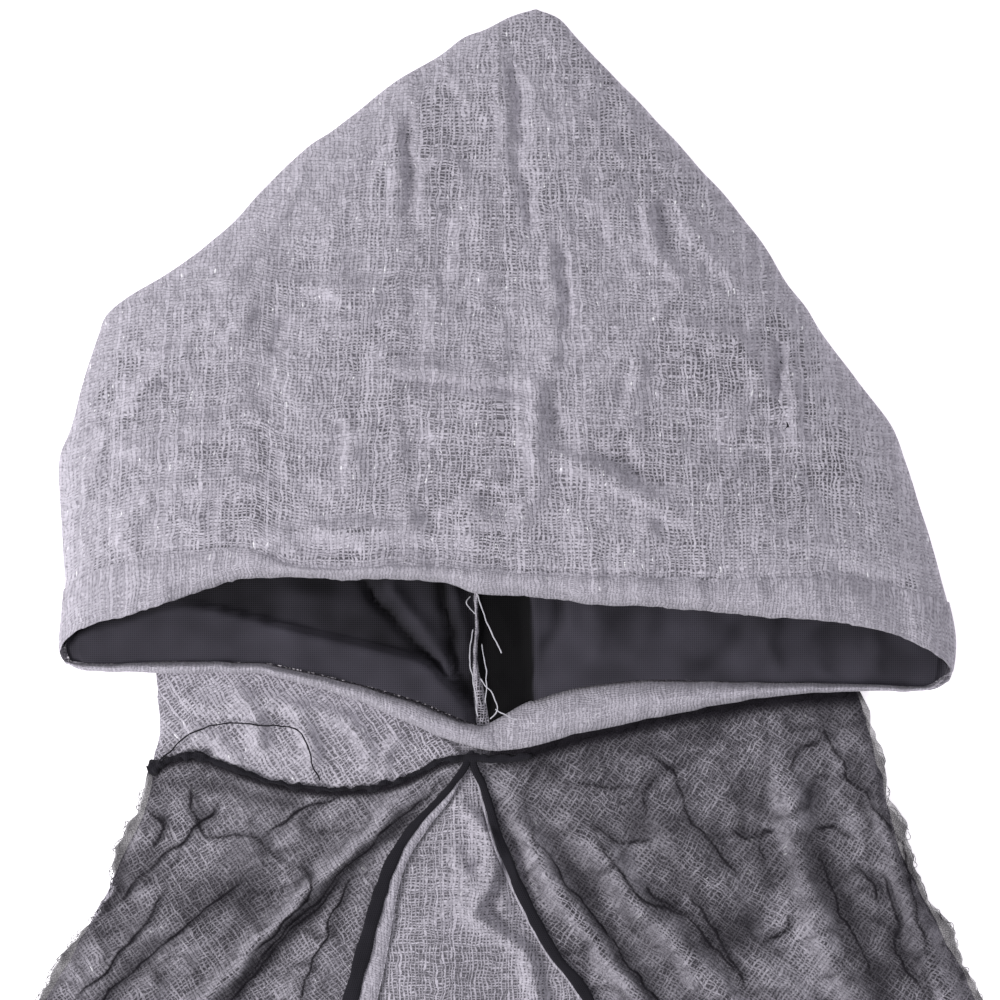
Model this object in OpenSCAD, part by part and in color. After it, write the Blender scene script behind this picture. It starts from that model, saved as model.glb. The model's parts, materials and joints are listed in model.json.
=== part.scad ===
// Hooded gauze veil, lying flat on its back on a table.
// Axes: +Z up from the table, +Y from the hem towards the point of the hood, +X to the right seen from above.
// The origin is on the table under the middle of the neck.

/* [Hood] */
// Width of the hood across its widest part, lying flat
hood_width = 358; // [300:2:400]
// Length of the hood from the throat to its point
hood_length = 295; // [240:5:340]
// Height of the middle of the brow edge above the table
brow_height = 42; // [20:1:60]
// Height of the hood's upper layer just below its point
point_height = 5; // [3:1:15]
// Width of the turned hem around the face
face_hem = 20; // [8:1:30]
// Height of the face edge in front of the neck
throat_edge_height = 12; // [5:1:20]

/* [Cape] */
// Length of the cape from the throat to the hem
cape_length = 260; // [150:10:600]
// Width of the cape along its hem, lying flat
cape_width = 506; // [400:2:700]
// How far the net lies outside the gauze at each side
net_margin = 3; // [0:1:10]

/* [Front edges] */
// Width of the black binding on the left front
binding_left_width = 4.5; // [3:0.5:10]
// Width of the black binding on the right front
binding_right_width = 6.5; // [3:0.5:10]
// Radius of the net's rolled top edge on the left front
roll_radius = 2; // [1:0.5:4]
// Width of the gathered net under the right face hem
gather_width = 8; // [4:1:14]
// Width of the seam allowance inside the hood
allowance_width = 6; // [4:1:12]

/* [Cloth] */
// Thickness of one layer of grey gauze
gauze = 0.8; // [0.4:0.1:1.5]
// Thickness of one layer of black net or lining
net = 0.6; // [0.3:0.1:1.2]
// Air between layers that move apart
air = 0.6; // [0.3:0.1:1]
// Gap between cloth edges of different bodies
edge_gap = 0.5; // [0.3:0.1:1]

/* [Hidden] */

$fn = 32;
throat_y = 18;
steps = 24;

// Heights of the stacked layers
cape_z = net;
front_z = cape_z + gauze + air;
front_net_z = front_z + gauze;
trim_z = front_net_z + net;
hood_lining_z = gauze;
allowance_z = gauze + net;
upper_z = allowance_z + net + air / 2;

// Outlines, as shares of the hood's width and length from the throat
hood_left_shape = [
    [-0.48, 0.11], [-0.49, 0.21], [-0.49, 0.38], [-0.46, 0.53], [-0.42, 0.62],
    [-0.30, 0.725], [-0.17, 0.855], [-0.06, 0.95], [0.01, 1]
];
hood_right_shape = [
    [0.49, 0.09], [0.51, 0.21], [0.46, 0.38], [0.38, 0.53], [0.33, 0.62],
    [0.27, 0.725], [0.17, 0.855], [0.10, 0.95], [0.06, 1]
];
brow_shape = [
    [-0.485, 0.15], [-0.39, 0.19], [-0.29, 0.23], [-0.17, 0.235], [-0.095, 0.23],
    [0, 0.21], [0.22, 0.175], [0.37, 0.155], [0.505, 0.13]
];
neck_shape = [
    [-0.48, 0.11], [-0.385, 0.10], [-0.25, 0.07], [-0.11, 0.034], [-0.01, 0],
    [0.11, 0.01], [0.22, 0.03], [0.39, 0.068], [0.49, 0.09]
];
face_left_shape = [[-0.47, 0.118], [-0.40, 0.12], [-0.30, 0.12], [-0.11, 0.07], [-0.02, 0.022]];
face_right_shape = [[0, 0.02], [0.07, 0.045], [0.16, 0.07], [0.39, 0.093], [0.48, 0.098]];

// Outlines, as shares of the cape's width and length from the throat
cape_left_shape = [
    [-0.267, 0.02], [-0.283, -0.06], [-0.296, -0.165], [-0.322, -0.26], [-0.368, -0.39],
    [-0.419, -0.57], [-0.49, -0.90]
];
cape_right_shape = [
    [0.292, 0.05], [0.304, -0.06], [0.33, -0.185], [0.356, -0.285], [0.379, -0.39],
    [0.423, -0.57], [0.49, -0.90]
];
hem_shape = [[-0.49, -0.90], [-0.25, -0.98], [0, -1], [0.25, -0.98], [0.49, -0.90]];
net_left_shape = [[-0.024, -0.02], [-0.057, -0.09], [-0.079, -0.14], [-0.12, -0.38], [-0.215, -0.99]];
net_right_shape = [[-0.02, -0.03], [0, -0.16], [0.028, -0.24], [0.071, -0.385], [0.237, -0.985]];
edge_left_shape = [[-0.02, -0.02], [-0.053, -0.09], [-0.075, -0.15], [-0.10, -0.385], [-0.19, -0.99]];
edge_right_shape = [[-0.024, -0.03], [-0.006, -0.16], [0.02, -0.24], [0.063, -0.385], [0.222, -0.985]];
// Share of the front edge's run where its binding starts, clear of the throat
trim_start = 0.15;
roll_shape = [
    [-0.275, -0.03], [-0.253, -0.012], [-0.22, -0.024], [-0.19, -0.05], [-0.158, -0.062],
    [-0.118, -0.066], [-0.079, -0.054], [-0.052, -0.026]
];

// The fronts fold back along a line from the apex, near the throat, to the outer corner of the hem
apex_left = [-0.028, -0.018];
apex_right = [-0.018, -0.034];
fixed_at_apex = 10;
tack_length = 7;
tack_width = 2;

// The crown seam runs straight from the brow to the point, as shares of the hood's width
crown_at_brow = 0.02;
crown_at_point = 0.035;

// Shapes in millimetres
function hood_curve(shape) = [for (p = shape) [p.x * hood_width, throat_y + p.y * hood_length]];
function cape_curve(shape) = [for (p = shape) [p.x * cape_width, throat_y + p.y * cape_length]];
hood_left = hood_curve(hood_left_shape);
hood_right = hood_curve(hood_right_shape);
brow = hood_curve(brow_shape);
neck = hood_curve(neck_shape);

// A smooth curve through points, at share t of its length in points
function knot(p, i) = p[max(0, min(len(p) - 1, i))];
function at(p, t) =
    let (s = t * (len(p) - 1), i = min(len(p) - 2, floor(s)), f = s - i)
    let (a = knot(p, i - 1), b = knot(p, i), c = knot(p, i + 1), d = knot(p, i + 2))
    b + 0.5 * f * (c - a + f * (2 * a - 5 * b + 4 * c - d + f * (3 * b - a - 3 * c + d)));
function run(p, from = 0, to = 1, n = steps) = [for (k = [0 : n]) at(p, from + (to - from) * k / n)];
function moved(points, by) = [for (p = points) p + by];
function turned(points) = [for (k = [len(points) - 1 : -1 : 0]) points[k]];
function mix(a, b, t) = a + (b - a) * t;

// A closed solid over a grid of points, thick upwards
module sheet(grid, thick) {
    rows = len(grid);
    cols = len(grid[0]);
    n = rows * cols;
    low = [for (r = grid) each r];
    high = [for (p = low) p + [0, 0, thick]];
    rim = concat(
        [for (c = [0 : cols - 1]) c],
        [for (r = [1 : rows - 1]) r * cols + cols - 1],
        [for (c = [cols - 2 : -1 : 0]) (rows - 1) * cols + c],
        [for (r = [rows - 2 : -1 : 1]) r * cols]
    );
    m = len(rim);
    faces = concat(
        [for (r = [0 : rows - 2], c = [0 : cols - 2]) each
            let (i = r * cols + c)
            [[i, i + 1, i + cols], [i + 1, i + cols + 1, i + cols],
             [n + i, n + i + cols, n + i + 1], [n + i + 1, n + i + cols, n + i + cols + 1]]],
        [for (k = [0 : m - 1]) each
            let (a = rim[k], b = rim[(k + 1) % m])
            [[a, n + a, b], [b, n + a, n + b]]]
    );
    polyhedron(concat(low, high), faces);
}

// A round tube with closed ends along a path, thinner towards both ends
module tube(path, radius, sides = 10) {
    last = len(path) - 1;
    function heading(k) =
        let (d = path[min(last, k + 1)] - path[max(0, k - 1)]) d / norm(d);
    function taper(k) = radius * (0.55 + 0.45 * sin(180 * k / last));
    rings = [for (k = [0 : last])
        let (t = heading(k), s = [t.y, -t.x, 0] / norm([t.y, -t.x, 0]), r = taper(k))
        [for (j = [0 : sides - 1])
            path[k] + s * r * cos(360 * j / sides) + [0, 0, 1] * r * sin(360 * j / sides)]];
    faces = concat(
        [[for (j = [0 : sides - 1]) j]],
        [[for (j = [sides - 1 : -1 : 0]) last * sides + j]],
        [for (k = [0 : last - 1], j = [0 : sides - 1]) each
            let (a = k * sides + j, b = k * sides + (j + 1) % sides)
            [[a, a + sides, b], [b, a + sides, b + sides]]]
    );
    polyhedron([for (ring = rings) each ring], faces);
}

module plate(points, z, thick) {
    translate([0, 0, z]) linear_extrude(thick) polygon(points);
}

// A band between two outlines that run the same way
module band(first, second, z, thick) {
    plate(concat(first, turned(second)), z, thick);
}

// --- Hood, lower layer ---

module hood_half(side, z, thick) {
    middle = [at(neck, 0.5), mix(hood_left[8], hood_right[8], 0.5)];
    outline = side < 0 ? hood_left : hood_right;
    hem = moved(side < 0 ? run(neck, 0, 0.5) : run(neck, 0.5, 1), [0, edge_gap]);
    plate(side < 0
        ? concat(hem, [middle[1]], turned(run(outline)))
        : concat(hem, run(outline), [middle[1]]), z, thick);
}

module hood_back_left() color("#9d9aa2") hood_half(-1, 0, gauze);
module hood_back_right() color("#9d9aa2") hood_half(1, 0, gauze);
module lining_back_left() color("#2d2c34") hood_half(-1, hood_lining_z, net);
module lining_back_right() color("#2d2c34") hood_half(1, hood_lining_z, net);

module seam_allowance() color("#a9a7ac") {
    top = [-0.025, 0.21];
    bottom = [-0.022, 0.045];
    line = hood_curve([top, bottom]);
    half = [allowance_width / 2, 0];
    plate([line[0] - half / 2, line[0] + half / 2, line[1] + half, line[1] - half], allowance_z, net);
}

// The face edge in front of the neck stands up from the neck seam
module face_wall(foot, edge) {
    across = 3;
    grid = [for (k = [0 : steps])
        [for (j = [0 : across])
            let (p = mix(foot[k], edge[k], j / across), s = sin(180 * k / steps))
            [p.x, p.y, upper_z + throat_edge_height * (0.15 + 0.85 * s) * j / across]]];
    sheet(grid, 2 * gauze);
}

module face_hem_left() color("#b0aeb3")
    face_wall(moved(run(neck, 0.02, 0.48), [0, edge_gap]), run(hood_curve(face_left_shape)));

module face_hem_right() color("#b0aeb3")
    face_wall(moved(run(neck, 0.51, 0.98), [0, edge_gap]), run(hood_curve(face_right_shape)));

// --- Hood, upper layer: a low dome from the brow edge to the point ---

brow_start = 0.05;
brow_to_point = 0.79;
hem_share = face_hem / (hood_length * brow_to_point);

function arch(u) = 1 - pow(abs(2 * u - 1), 4);
function rise(v) = (brow_height - upper_z - point_height) * pow(1 - v, 1.2) + point_height * (1 - v * v);
function dome(u, v) =
    let (t = mix(brow_start, 1, v))
    let (flat = mix(at(hood_left, t), at(hood_right, t), u))
    let (straight = mix(at(hood_left, brow_start), at(hood_right, brow_start), u))
    let (p = flat + pow(1 - v, 2) * (at(brow, u) - straight))
    [p.x, p.y, upper_z + rise(v) * arch(u)];

function crown(v) =
    let (t = mix(brow_start, 1, v), left = at(hood_left, t).x, right = at(hood_right, t).x)
    (hood_width * mix(crown_at_brow, crown_at_point, v) - left) / (right - left);

// One side of the dome, from the crown seam out to the side fold
module dome_half(side, v_from, v_to, lift, thick, rows, cols) {
    grid = [for (r = [0 : rows])
        let (v = mix(v_from, v_to, r / rows))
        [for (c = [0 : cols])
            let (u = side < 0 ? crown(v) * c / cols : mix(crown(v), 1, c / cols))
            dome(u, v) + [0, 0, lift]]];
    sheet(grid, thick);
}

module lining_front(side) color("#2d2c34") dome_half(side, hem_share, 1, 0, net, 22, 14);
module hood_front(side) color("#9d9aa2") dome_half(side, hem_share, 1, net, gauze, 22, 14);
module brow_hem(side) color("#b0aeb3") dome_half(side, 0, hem_share, 0, 2 * gauze, 3, 20);
module lining_front_left() lining_front(-1);
module lining_front_right() lining_front(1);
module hood_front_left() hood_front(-1);
module hood_front_right() hood_front(1);
module brow_hem_left() brow_hem(-1);
module brow_hem_right() brow_hem(1);

// The seam's raw allowance lies inside the hood, under the lining
module crown_seam() color("#a9a7ac") {
    rows = 22;
    end = 0.93;
    grid = [for (r = [0 : rows])
        let (v = mix(hem_share, end, r / rows), across = at(hood_right, v).x - at(hood_left, v).x)
        [for (side = [-1, 1]) dome(crown(v) + side * allowance_width / 2 / across, v) - [0, 0, 1.5 * net]]];
    sheet(grid, net);
}

// --- Cape and net over-cape, lower layer ---

function cape_top(from, to) = moved(run(neck, from, to), [0, -edge_gap]);
function cape_side(shape, out) = moved(run(cape_curve(shape)), [out, 0]);
function hem_line(from, to) = run(cape_curve(hem_shape), from, to);

module cape_outline(out) {
    polygon(concat(
        turned(cape_top(0.125, 0.875)),
        cape_side(cape_left_shape, -out),
        moved(hem_line(0, 1), [0, -out]),
        turned(cape_side(cape_right_shape, out))
    ));
}

module net_back() color("#3a3940") linear_extrude(net) cape_outline(net_margin);
module cape_back() color("#9d9aa2") translate([0, 0, cape_z]) linear_extrude(gauze) cape_outline(0);

module neck_seam() color("#8f8d95")
    band(moved(cape_top(0.15, 0.85), [0, -allowance_width]), cape_top(0.15, 0.85), cape_z + gauze, air * 0.9);

// --- Fronts: a fixed yoke out to the side fold and a flap in to the front edge ---

function corner(side) = side < 0 ? cape_curve(cape_left_shape)[6] : cape_curve(cape_right_shape)[6];
function apex(side) = cape_curve([side < 0 ? apex_left : apex_right])[0];
function fold_way(side) = let (d = corner(side) - apex(side)) d / norm(d);

// Everything on the front edge's side of the fold line, moved away from the fixed part by a gap
module beyond_fold(side, gap) {
    reach = 3 * cape_length;
    d = fold_way(side);
    inward = side < 0 ? [-d.y, d.x] : [d.y, -d.x];
    a = apex(side) + inward * gap + d * (fixed_at_apex + gap);
    polygon([a, a + d * reach, a + d * reach + inward * reach, a + inward * reach]);
}

module front_outline(side, out, top, edge_shape) {
    side_line = side < 0 ? cape_side(cape_left_shape, -out) : cape_side(cape_right_shape, out);
    short_of_edge = 0.015;
    meets = 0.5 + edge_shape[len(edge_shape) - 1].x + side * short_of_edge;
    hem = moved(side < 0 ? hem_line(0, meets) : turned(hem_line(meets, 1)), [0, -out]);
    polygon(concat(top, side_line, hem, turned(run(cape_curve(edge_shape)))));
}

module gauze_outline(side) {
    if (side < 0) front_outline(-1, 0, turned(cape_top(0.125, 0.49)), edge_left_shape);
    else front_outline(1, 0, cape_top(0.5, 0.875), edge_right_shape);
}

module net_outline(side) {
    if (side < 0) front_outline(-1, net_margin, turned(run(cape_curve(roll_shape))), net_left_shape);
    else front_outline(1, net_margin, cape_top(0.51, 0.875), net_right_shape);
}

module fixed_part(side) {
    difference() {
        children();
        beyond_fold(side, 0);
    }
}

module flap_part(side) {
    intersection() {
        children();
        beyond_fold(side, edge_gap);
    }
}

// The side fold joins a yoke to the panel under it
module side_fold(side, out, width, z, thick) {
    line = side < 0 ? cape_side(cape_left_shape, -out) : cape_side(cape_right_shape, out);
    band(line, moved(line, [-side * width, 0]), z, thick);
}

module cape_yoke(side) {
    translate([0, 0, front_z]) linear_extrude(gauze) fixed_part(side) gauze_outline(side);
    side_fold(side, 0, 2 * gauze, cape_z + gauze, air);
}

module net_yoke(side) {
    translate([0, 0, front_net_z]) linear_extrude(net) fixed_part(side) net_outline(side);
    side_fold(side, net_margin, net_margin - net, net, front_net_z - net);
}

module cape_yoke_left() color("#9d9aa2") cape_yoke(-1);
module cape_yoke_right() color("#9d9aa2") cape_yoke(1);
module net_yoke_left() color("#3a3940") net_yoke(-1);
module net_yoke_right() color("#3a3940") net_yoke(1);

module net_roll_left() color("#232128")
    tube([for (p = run(cape_curve(roll_shape))) [p.x, p.y + roll_radius, front_net_z + roll_radius]], roll_radius);

module net_gather_right() color("#232128") {
    below_seam = 3;
    top = moved(cape_top(0.55, 0.85), [0, -below_seam]);
    band(moved(top, [0, -gather_width]), top, trim_z, 2 * net);
}

module throat_tack() color("#232128")
    translate([apex(-1).x + tack_length, apex(-1).y, trim_z]) rotate(-45) linear_extrude(2 * net)
        square([tack_length, tack_width], center = true);

module cape_flap_left() color("#9d9aa2")
    translate([0, 0, front_z]) linear_extrude(gauze) flap_part(-1) gauze_outline(-1);
module cape_flap_right() color("#9d9aa2")
    translate([0, 0, front_z]) linear_extrude(gauze) flap_part(1) gauze_outline(1);
module net_flap_left() color("#3a3940")
    translate([0, 0, front_net_z]) linear_extrude(net) flap_part(-1) net_outline(-1);
module net_flap_right() color("#3a3940")
    translate([0, 0, front_net_z]) linear_extrude(net) flap_part(1) net_outline(1);

// The black binding lies on the net's front edge
module binding(side, shape, width) {
    line = run(cape_curve(shape), trim_start, 1);
    translate([0, 0, trim_z]) linear_extrude(2 * net) flap_part(side)
        polygon(concat(line, turned(moved(line, [side * width, 0]))));
}

module binding_left() color("#232128") binding(-1, net_left_shape, binding_left_width);
module binding_right() color("#232128") binding(1, net_right_shape, binding_right_width);

// The gauze's own turned edge shows past the binding
module cape_edge(side, shape, net_shape) {
    line = run(cape_curve(shape), trim_start, 1);
    beside = moved(run(cape_curve(net_shape), trim_start, 1), [-side * edge_gap, 0]);
    translate([0, 0, front_net_z]) linear_extrude(gauze) flap_part(side) polygon(concat(line, turned(beside)));
}

module cape_edge_left() color("#b0aeb3") cape_edge(-1, edge_left_shape, net_left_shape);
module cape_edge_right() color("#b0aeb3") cape_edge(1, edge_right_shape, net_right_shape);

net_back();
cape_back();
cape_yoke_left();
cape_yoke_right();
net_yoke_left();
net_yoke_right();
net_roll_left();
net_gather_right();
neck_seam();
throat_tack();
hood_back_left();
hood_back_right();
lining_back_left();
lining_back_right();
seam_allowance();
face_hem_left();
face_hem_right();
hood_front_left();
hood_front_right();
lining_front_left();
lining_front_right();
brow_hem_left();
brow_hem_right();
crown_seam();
cape_flap_left();
net_flap_left();
binding_left();
cape_edge_left();
cape_flap_right();
net_flap_right();
binding_right();
cape_edge_right();
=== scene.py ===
"""Hooded gauze veil, lying flat on its back on a pale floor.

Lengths in the shape functions are millimetres in the frame of the CAD parts; meshes are written in metres.
"""
import json
import math

import bmesh
import bpy
import numpy as np
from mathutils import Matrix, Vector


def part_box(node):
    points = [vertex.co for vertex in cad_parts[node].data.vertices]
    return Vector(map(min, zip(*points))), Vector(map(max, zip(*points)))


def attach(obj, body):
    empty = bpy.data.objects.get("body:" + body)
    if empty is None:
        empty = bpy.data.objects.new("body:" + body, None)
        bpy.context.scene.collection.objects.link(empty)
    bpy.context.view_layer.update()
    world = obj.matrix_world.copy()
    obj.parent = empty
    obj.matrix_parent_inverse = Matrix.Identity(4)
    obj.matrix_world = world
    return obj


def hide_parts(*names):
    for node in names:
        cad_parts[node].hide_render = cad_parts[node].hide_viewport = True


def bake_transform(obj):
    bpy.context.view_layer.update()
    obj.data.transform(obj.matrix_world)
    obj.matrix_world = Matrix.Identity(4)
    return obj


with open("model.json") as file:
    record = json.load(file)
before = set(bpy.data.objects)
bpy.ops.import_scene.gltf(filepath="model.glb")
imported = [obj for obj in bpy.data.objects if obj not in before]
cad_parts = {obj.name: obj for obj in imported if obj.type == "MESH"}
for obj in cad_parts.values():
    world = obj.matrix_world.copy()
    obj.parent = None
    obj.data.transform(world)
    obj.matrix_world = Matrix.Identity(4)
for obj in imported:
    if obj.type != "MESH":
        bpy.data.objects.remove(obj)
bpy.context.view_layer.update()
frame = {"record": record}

MM = 0.001

# --- Places from the frame ---


def around(*nodes):
    """Lowest and highest corner, in millimetres, of several CAD parts together."""
    corners = np.array([[list(c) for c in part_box(n)] for n in nodes]) / MM
    return corners[:, 0].min(0), corners[:, 1].max(0)


hood_low, hood_high = around("hood_back_left", "hood_back_right")
front_high = around("hood_front_left", "hood_front_right", "brow_hem_left", "brow_hem_right")[1]

# The pattern is drawn for a hood this wide and this long above the throat, and fitted to the frame's hood
PATTERN_WIDTH, PATTERN_LENGTH = 358.0, 295.0
FIT = (hood_high - hood_low)[:2] / np.array([PATTERN_WIDTH, PATTERN_LENGTH])
THROAT_Y = hood_low[1]
# Height of the upper layer's middle at the brow, with this much room left above it for its folds
FOLD_ROOM = 7.0
BROW_Z = front_high[2] - FOLD_ROOM

hinge = {j["name"]: j for j in frame["record"]["behaviour"]["joints"]}


def hinge_point(name):
    """A point on a joint's axis, in millimetres."""
    return np.array(hinge[name]["pos_m"]) / MM


# --- Lines and noise ---


class Curve:
    """A smooth line through points (Catmull-Rom), measured along its length from 0 to 1."""

    def __init__(self, points, fitted=True):
        p = np.array(points, float)
        if fitted:
            p[:, :2] = p[:, :2] * FIT
        ends = np.vstack([2 * p[0] - p[1], p, 2 * p[-1] - p[-2]])
        t = np.linspace(0, 1, 24, endpoint=False)[:, None]
        parts = [
            b + 0.5 * t * (c - a + t * (2 * a - 5 * b + 4 * c - d + t * (3 * b - a - 3 * c + d)))
            for a, b, c, d in zip(ends, ends[1:], ends[2:], ends[3:])
        ]
        self.line = np.vstack(parts + [p[-1:]])
        step = np.linalg.norm(np.diff(self.line, axis=0), axis=1)
        self.length = step.sum()
        self.share = np.concatenate([[0], np.cumsum(step)]) / self.length

    def at(self, t):
        columns = [np.interp(t, self.share, c) for c in self.line.T]
        return np.stack(columns, axis=-1)

    def y_at(self, x):
        return np.interp(x, self.line[:, 0], self.line[:, 1])


def ease(a, b, v):
    """0 below a, 1 above b, with a smooth cubic step between."""
    t = np.clip((v - a) / (b - a), 0, 1)
    return t * t * (3 - 2 * t)


def noise(x, y, size, seed):
    """Smooth noise from -1 to 1: random values on a turned square lattice, eased between by a cubic."""
    table = np.random.default_rng(seed).uniform(-1, 1, (128, 128))
    turn = 0.6 + seed
    gx = (x * math.cos(turn) - y * math.sin(turn)) / size + 41.3
    gy = (x * math.sin(turn) + y * math.cos(turn)) / size + 17.9
    ix, iy = np.floor(gx).astype(int), np.floor(gy).astype(int)
    fx, fy = gx - ix, gy - iy
    fx, fy = fx * fx * (3 - 2 * fx), fy * fy * (3 - 2 * fy)
    low = table[ix % 128, iy % 128] * (1 - fx) + table[(ix + 1) % 128, iy % 128] * fx
    high = table[ix % 128, (iy + 1) % 128] * (1 - fx) + table[(ix + 1) % 128, (iy + 1) % 128] * fx
    return low * (1 - fy) + high * fy


def crumple(x, y, size, seed):
    """Sharp little ridges: 1 where the noise crosses zero, falling away on both sides."""
    return (1 - np.abs(noise(x, y, size, seed))) ** 4


def near(x, y, points):
    """Distance of each place from a smooth line, and the nearest point's share of the line's length."""
    line = Curve(points).at(np.linspace(0, 1, 5 * len(points)))
    best, share = np.full(x.shape, 1e9), np.zeros(x.shape)
    for k, (a, b) in enumerate(zip(line, line[1:])):
        d = b - a
        t = np.clip(((x - a[0]) * d[0] + (y - a[1]) * d[1]) / (d @ d), 0, 1)
        gap = np.hypot(x - a[0] - t * d[0], y - a[1] - t * d[1])
        share = np.where(gap < best, (k + t) / (len(line) - 1), share)
        best = np.minimum(best, gap)
    return best, share


def folds(x, y, lines):
    """Height of several ridges (creases where negative): a bell across each line, fading at its ends. The
    lines wander by a smooth noise, as creases in worn cloth do."""
    z = np.zeros(x.shape)
    x, y = x + 1.5 * noise(x, y, 9, 11) + 0.5 * noise(x, y, 3.5, 12), y + 1.5 * noise(x, y, 9, 13)
    for height, width, points in lines:
        gap, share = near(x, y, points)
        z += height * np.exp(-((gap / width) ** 2)) * ease(0, 0.2, np.minimum(share, 1 - share))
    return z


# --- Meshes ---

# Each piece's flat sizes, as a panel and as an unrolled strip
cuts = {}


def outline_cut(x, y):
    """A panel's flat pattern, whatever its folds take up: the sides of the smallest rectangle round its
    outline, and the area inside the outline, in metres."""
    rings = [np.concatenate([c[0], c[1:, -1], c[-1, -2::-1], c[-2:0:-1, 0]]) for c in (x, y)]
    ring = np.stack(rings, -1) * MM
    after = np.roll(ring, -1, axis=0)
    area = abs((ring[:, 0] * after[:, 1] - after[:, 0] * ring[:, 1]).sum()) / 2
    turn = np.radians(np.arange(180))[:, None]
    wide = np.ptp(ring[:, 0] * np.cos(turn) + ring[:, 1] * np.sin(turn), axis=1)
    long = np.ptp(ring[:, 1] * np.cos(turn) - ring[:, 0] * np.sin(turn), axis=1)
    least = np.argmin(wide * long)
    return (wide[least], long[least]), area


def unrolled_cut(x, y, z):
    """A rolled or turned strip laid out flat: its longest row by its longest column, and its surface, in
    metres."""
    p = np.stack([x, y, z], -1) * MM
    row = np.linalg.norm(np.diff(p, axis=1), axis=-1).sum(1).max()
    column = np.linalg.norm(np.diff(p, axis=0), axis=-1).sum(0).max()
    crossed = np.cross(p[1:, 1:] - p[:-1, :-1], p[1:, :-1] - p[:-1, 1:])
    return (row, column), np.linalg.norm(crossed, axis=-1).sum() / 2


def to_mesh(name, x, y, z, cloth, material, up=True, pole=False, **marks):
    """A mesh over a grid of points, with the cloth's own coordinates and any marks as attributes."""
    cuts[name] = {"panel": outline_cut(x, y), "strip": unrolled_cut(x, y, z)}
    rows, cols = x.shape
    points = np.stack([x, y, z], -1).reshape(-1, 3) * MM
    i = np.arange(rows * cols).reshape(rows, cols)
    quads = np.stack([i[:-1, :-1], i[:-1, 1:], i[1:, 1:], i[1:, :-1]], -1).reshape(-1, 4)
    p = points[quads]
    facing = np.cross(p[:, 2] - p[:, 0], p[:, 3] - p[:, 1])[:, 2].sum()
    if (facing > 0) != up:
        quads = quads[:, ::-1]
    mesh = bpy.data.meshes.new(name)
    mesh.from_pydata(points.tolist(), [], quads.tolist())
    mesh.polygons.foreach_set("use_smooth", [True] * len(quads))
    vectors = np.stack([cloth[0], cloth[1], np.zeros_like(cloth[0])], -1).reshape(-1)
    mesh.attributes.new("cloth", "FLOAT_VECTOR", "POINT").data.foreach_set("vector", vectors)
    for mark, values in marks.items():
        values = np.broadcast_to(values, x.shape).reshape(-1)
        mesh.attributes.new(mark, "FLOAT", "POINT").data.foreach_set("value", values)
    if pole:
        join_poles(mesh)
    mesh.materials.append(material)
    obj = bpy.data.objects.new(name, mesh)
    bpy.context.scene.collection.objects.link(obj)
    return obj


def join_poles(mesh):
    """Joins the points that fall together where a grid closes to a point."""
    b = bmesh.new()
    b.from_mesh(mesh)
    bmesh.ops.remove_doubles(b, verts=b.verts, dist=1e-7)
    b.to_mesh(mesh)
    b.free()


def cords(name, paths, radius, material, sides=8, rough=0.0, seed=0):
    """Round cords along several paths in one mesh: a circle set square to each path at each of its points,
    drawn in and capped at both ends. paths has the shape cords x points x 3."""
    paths = np.array(paths, float)
    count, steps, _ = paths.shape
    t = np.gradient(paths, axis=1)
    t /= np.linalg.norm(t, axis=2)[..., None].clip(1e-6)
    side = np.cross(t, [0, 0, 1.0])
    side /= np.maximum(np.linalg.norm(side, axis=2), 1e-6)[..., None]
    over = np.cross(side, t)
    angle = np.linspace(0, 2 * math.pi, sides, endpoint=False)
    r = np.broadcast_to(radius, (count, steps)).copy()
    r[:, 0] = r[:, -1] = 0.02
    ring = side[:, :, None] * np.cos(angle)[:, None] + over[:, :, None] * np.sin(angle)[:, None]
    run = np.cumsum(np.linalg.norm(np.diff(paths, axis=1, prepend=paths[:, :1]), axis=2), axis=1)
    run, turn = run[..., None] + 0 * angle, angle + 0 * r[..., None]
    wave = 1 + rough * noise(run * 0.9, turn * 2, 1.7, seed)
    p = paths[:, :, None] + ring * (r[..., None] * wave)[..., None]
    i = np.arange(count * steps * sides).reshape(count, steps, sides)
    j = np.roll(i, -1, axis=2)
    quads = np.stack([i[:, :-1], i[:, 1:], j[:, 1:], j[:, :-1]], -1).reshape(-1, 4)
    ends = np.vstack([i[:, 0], i[:, -1, ::-1]])
    mesh = bpy.data.meshes.new(name)
    mesh.from_pydata((p.reshape(-1, 3) * MM).tolist(), [], quads.tolist() + ends.tolist())
    mesh.polygons.foreach_set("use_smooth", [True] * len(mesh.polygons))
    vectors = np.stack([turn * r[..., None], run, 0 * run], -1)
    mesh.attributes.new("cloth", "FLOAT_VECTOR", "POINT").data.foreach_set("vector", vectors.reshape(-1))
    mesh.attributes.new("open", "FLOAT", "POINT").data.foreach_set("value", np.zeros(count * steps * sides))
    mesh.materials.append(material)
    obj = bpy.data.objects.new(name, mesh)
    bpy.context.scene.collection.objects.link(obj)
    return obj


# --- Materials ---


def linear(hex_colour):
    """sRGB hex to linear RGBA."""
    parts = [int(hex_colour[i : i + 2], 16) / 255 for i in (1, 3, 5)]
    return [c / 12.92 if c <= 0.04045 else ((c + 0.055) / 1.055) ** 2.4 for c in parts] + [1.0]


def add(tree, kind, ins=None, out=0, **settings):
    """Adds a node, sets its properties, fills its inputs with values or links and gives one output."""
    made = tree.nodes.new(kind)
    for key, value in settings.items():
        setattr(made, key, value)
    for key, value in (ins or {}).items():
        if isinstance(value, bpy.types.NodeSocket):
            tree.links.new(value, made.inputs[key])
        else:
            made.inputs[key].default_value = value
    return made.outputs[out]


def new_tree(name):
    material = bpy.data.materials.new(name)
    material.use_nodes = True
    material.node_tree.nodes.clear()
    return material, material.node_tree


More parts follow.
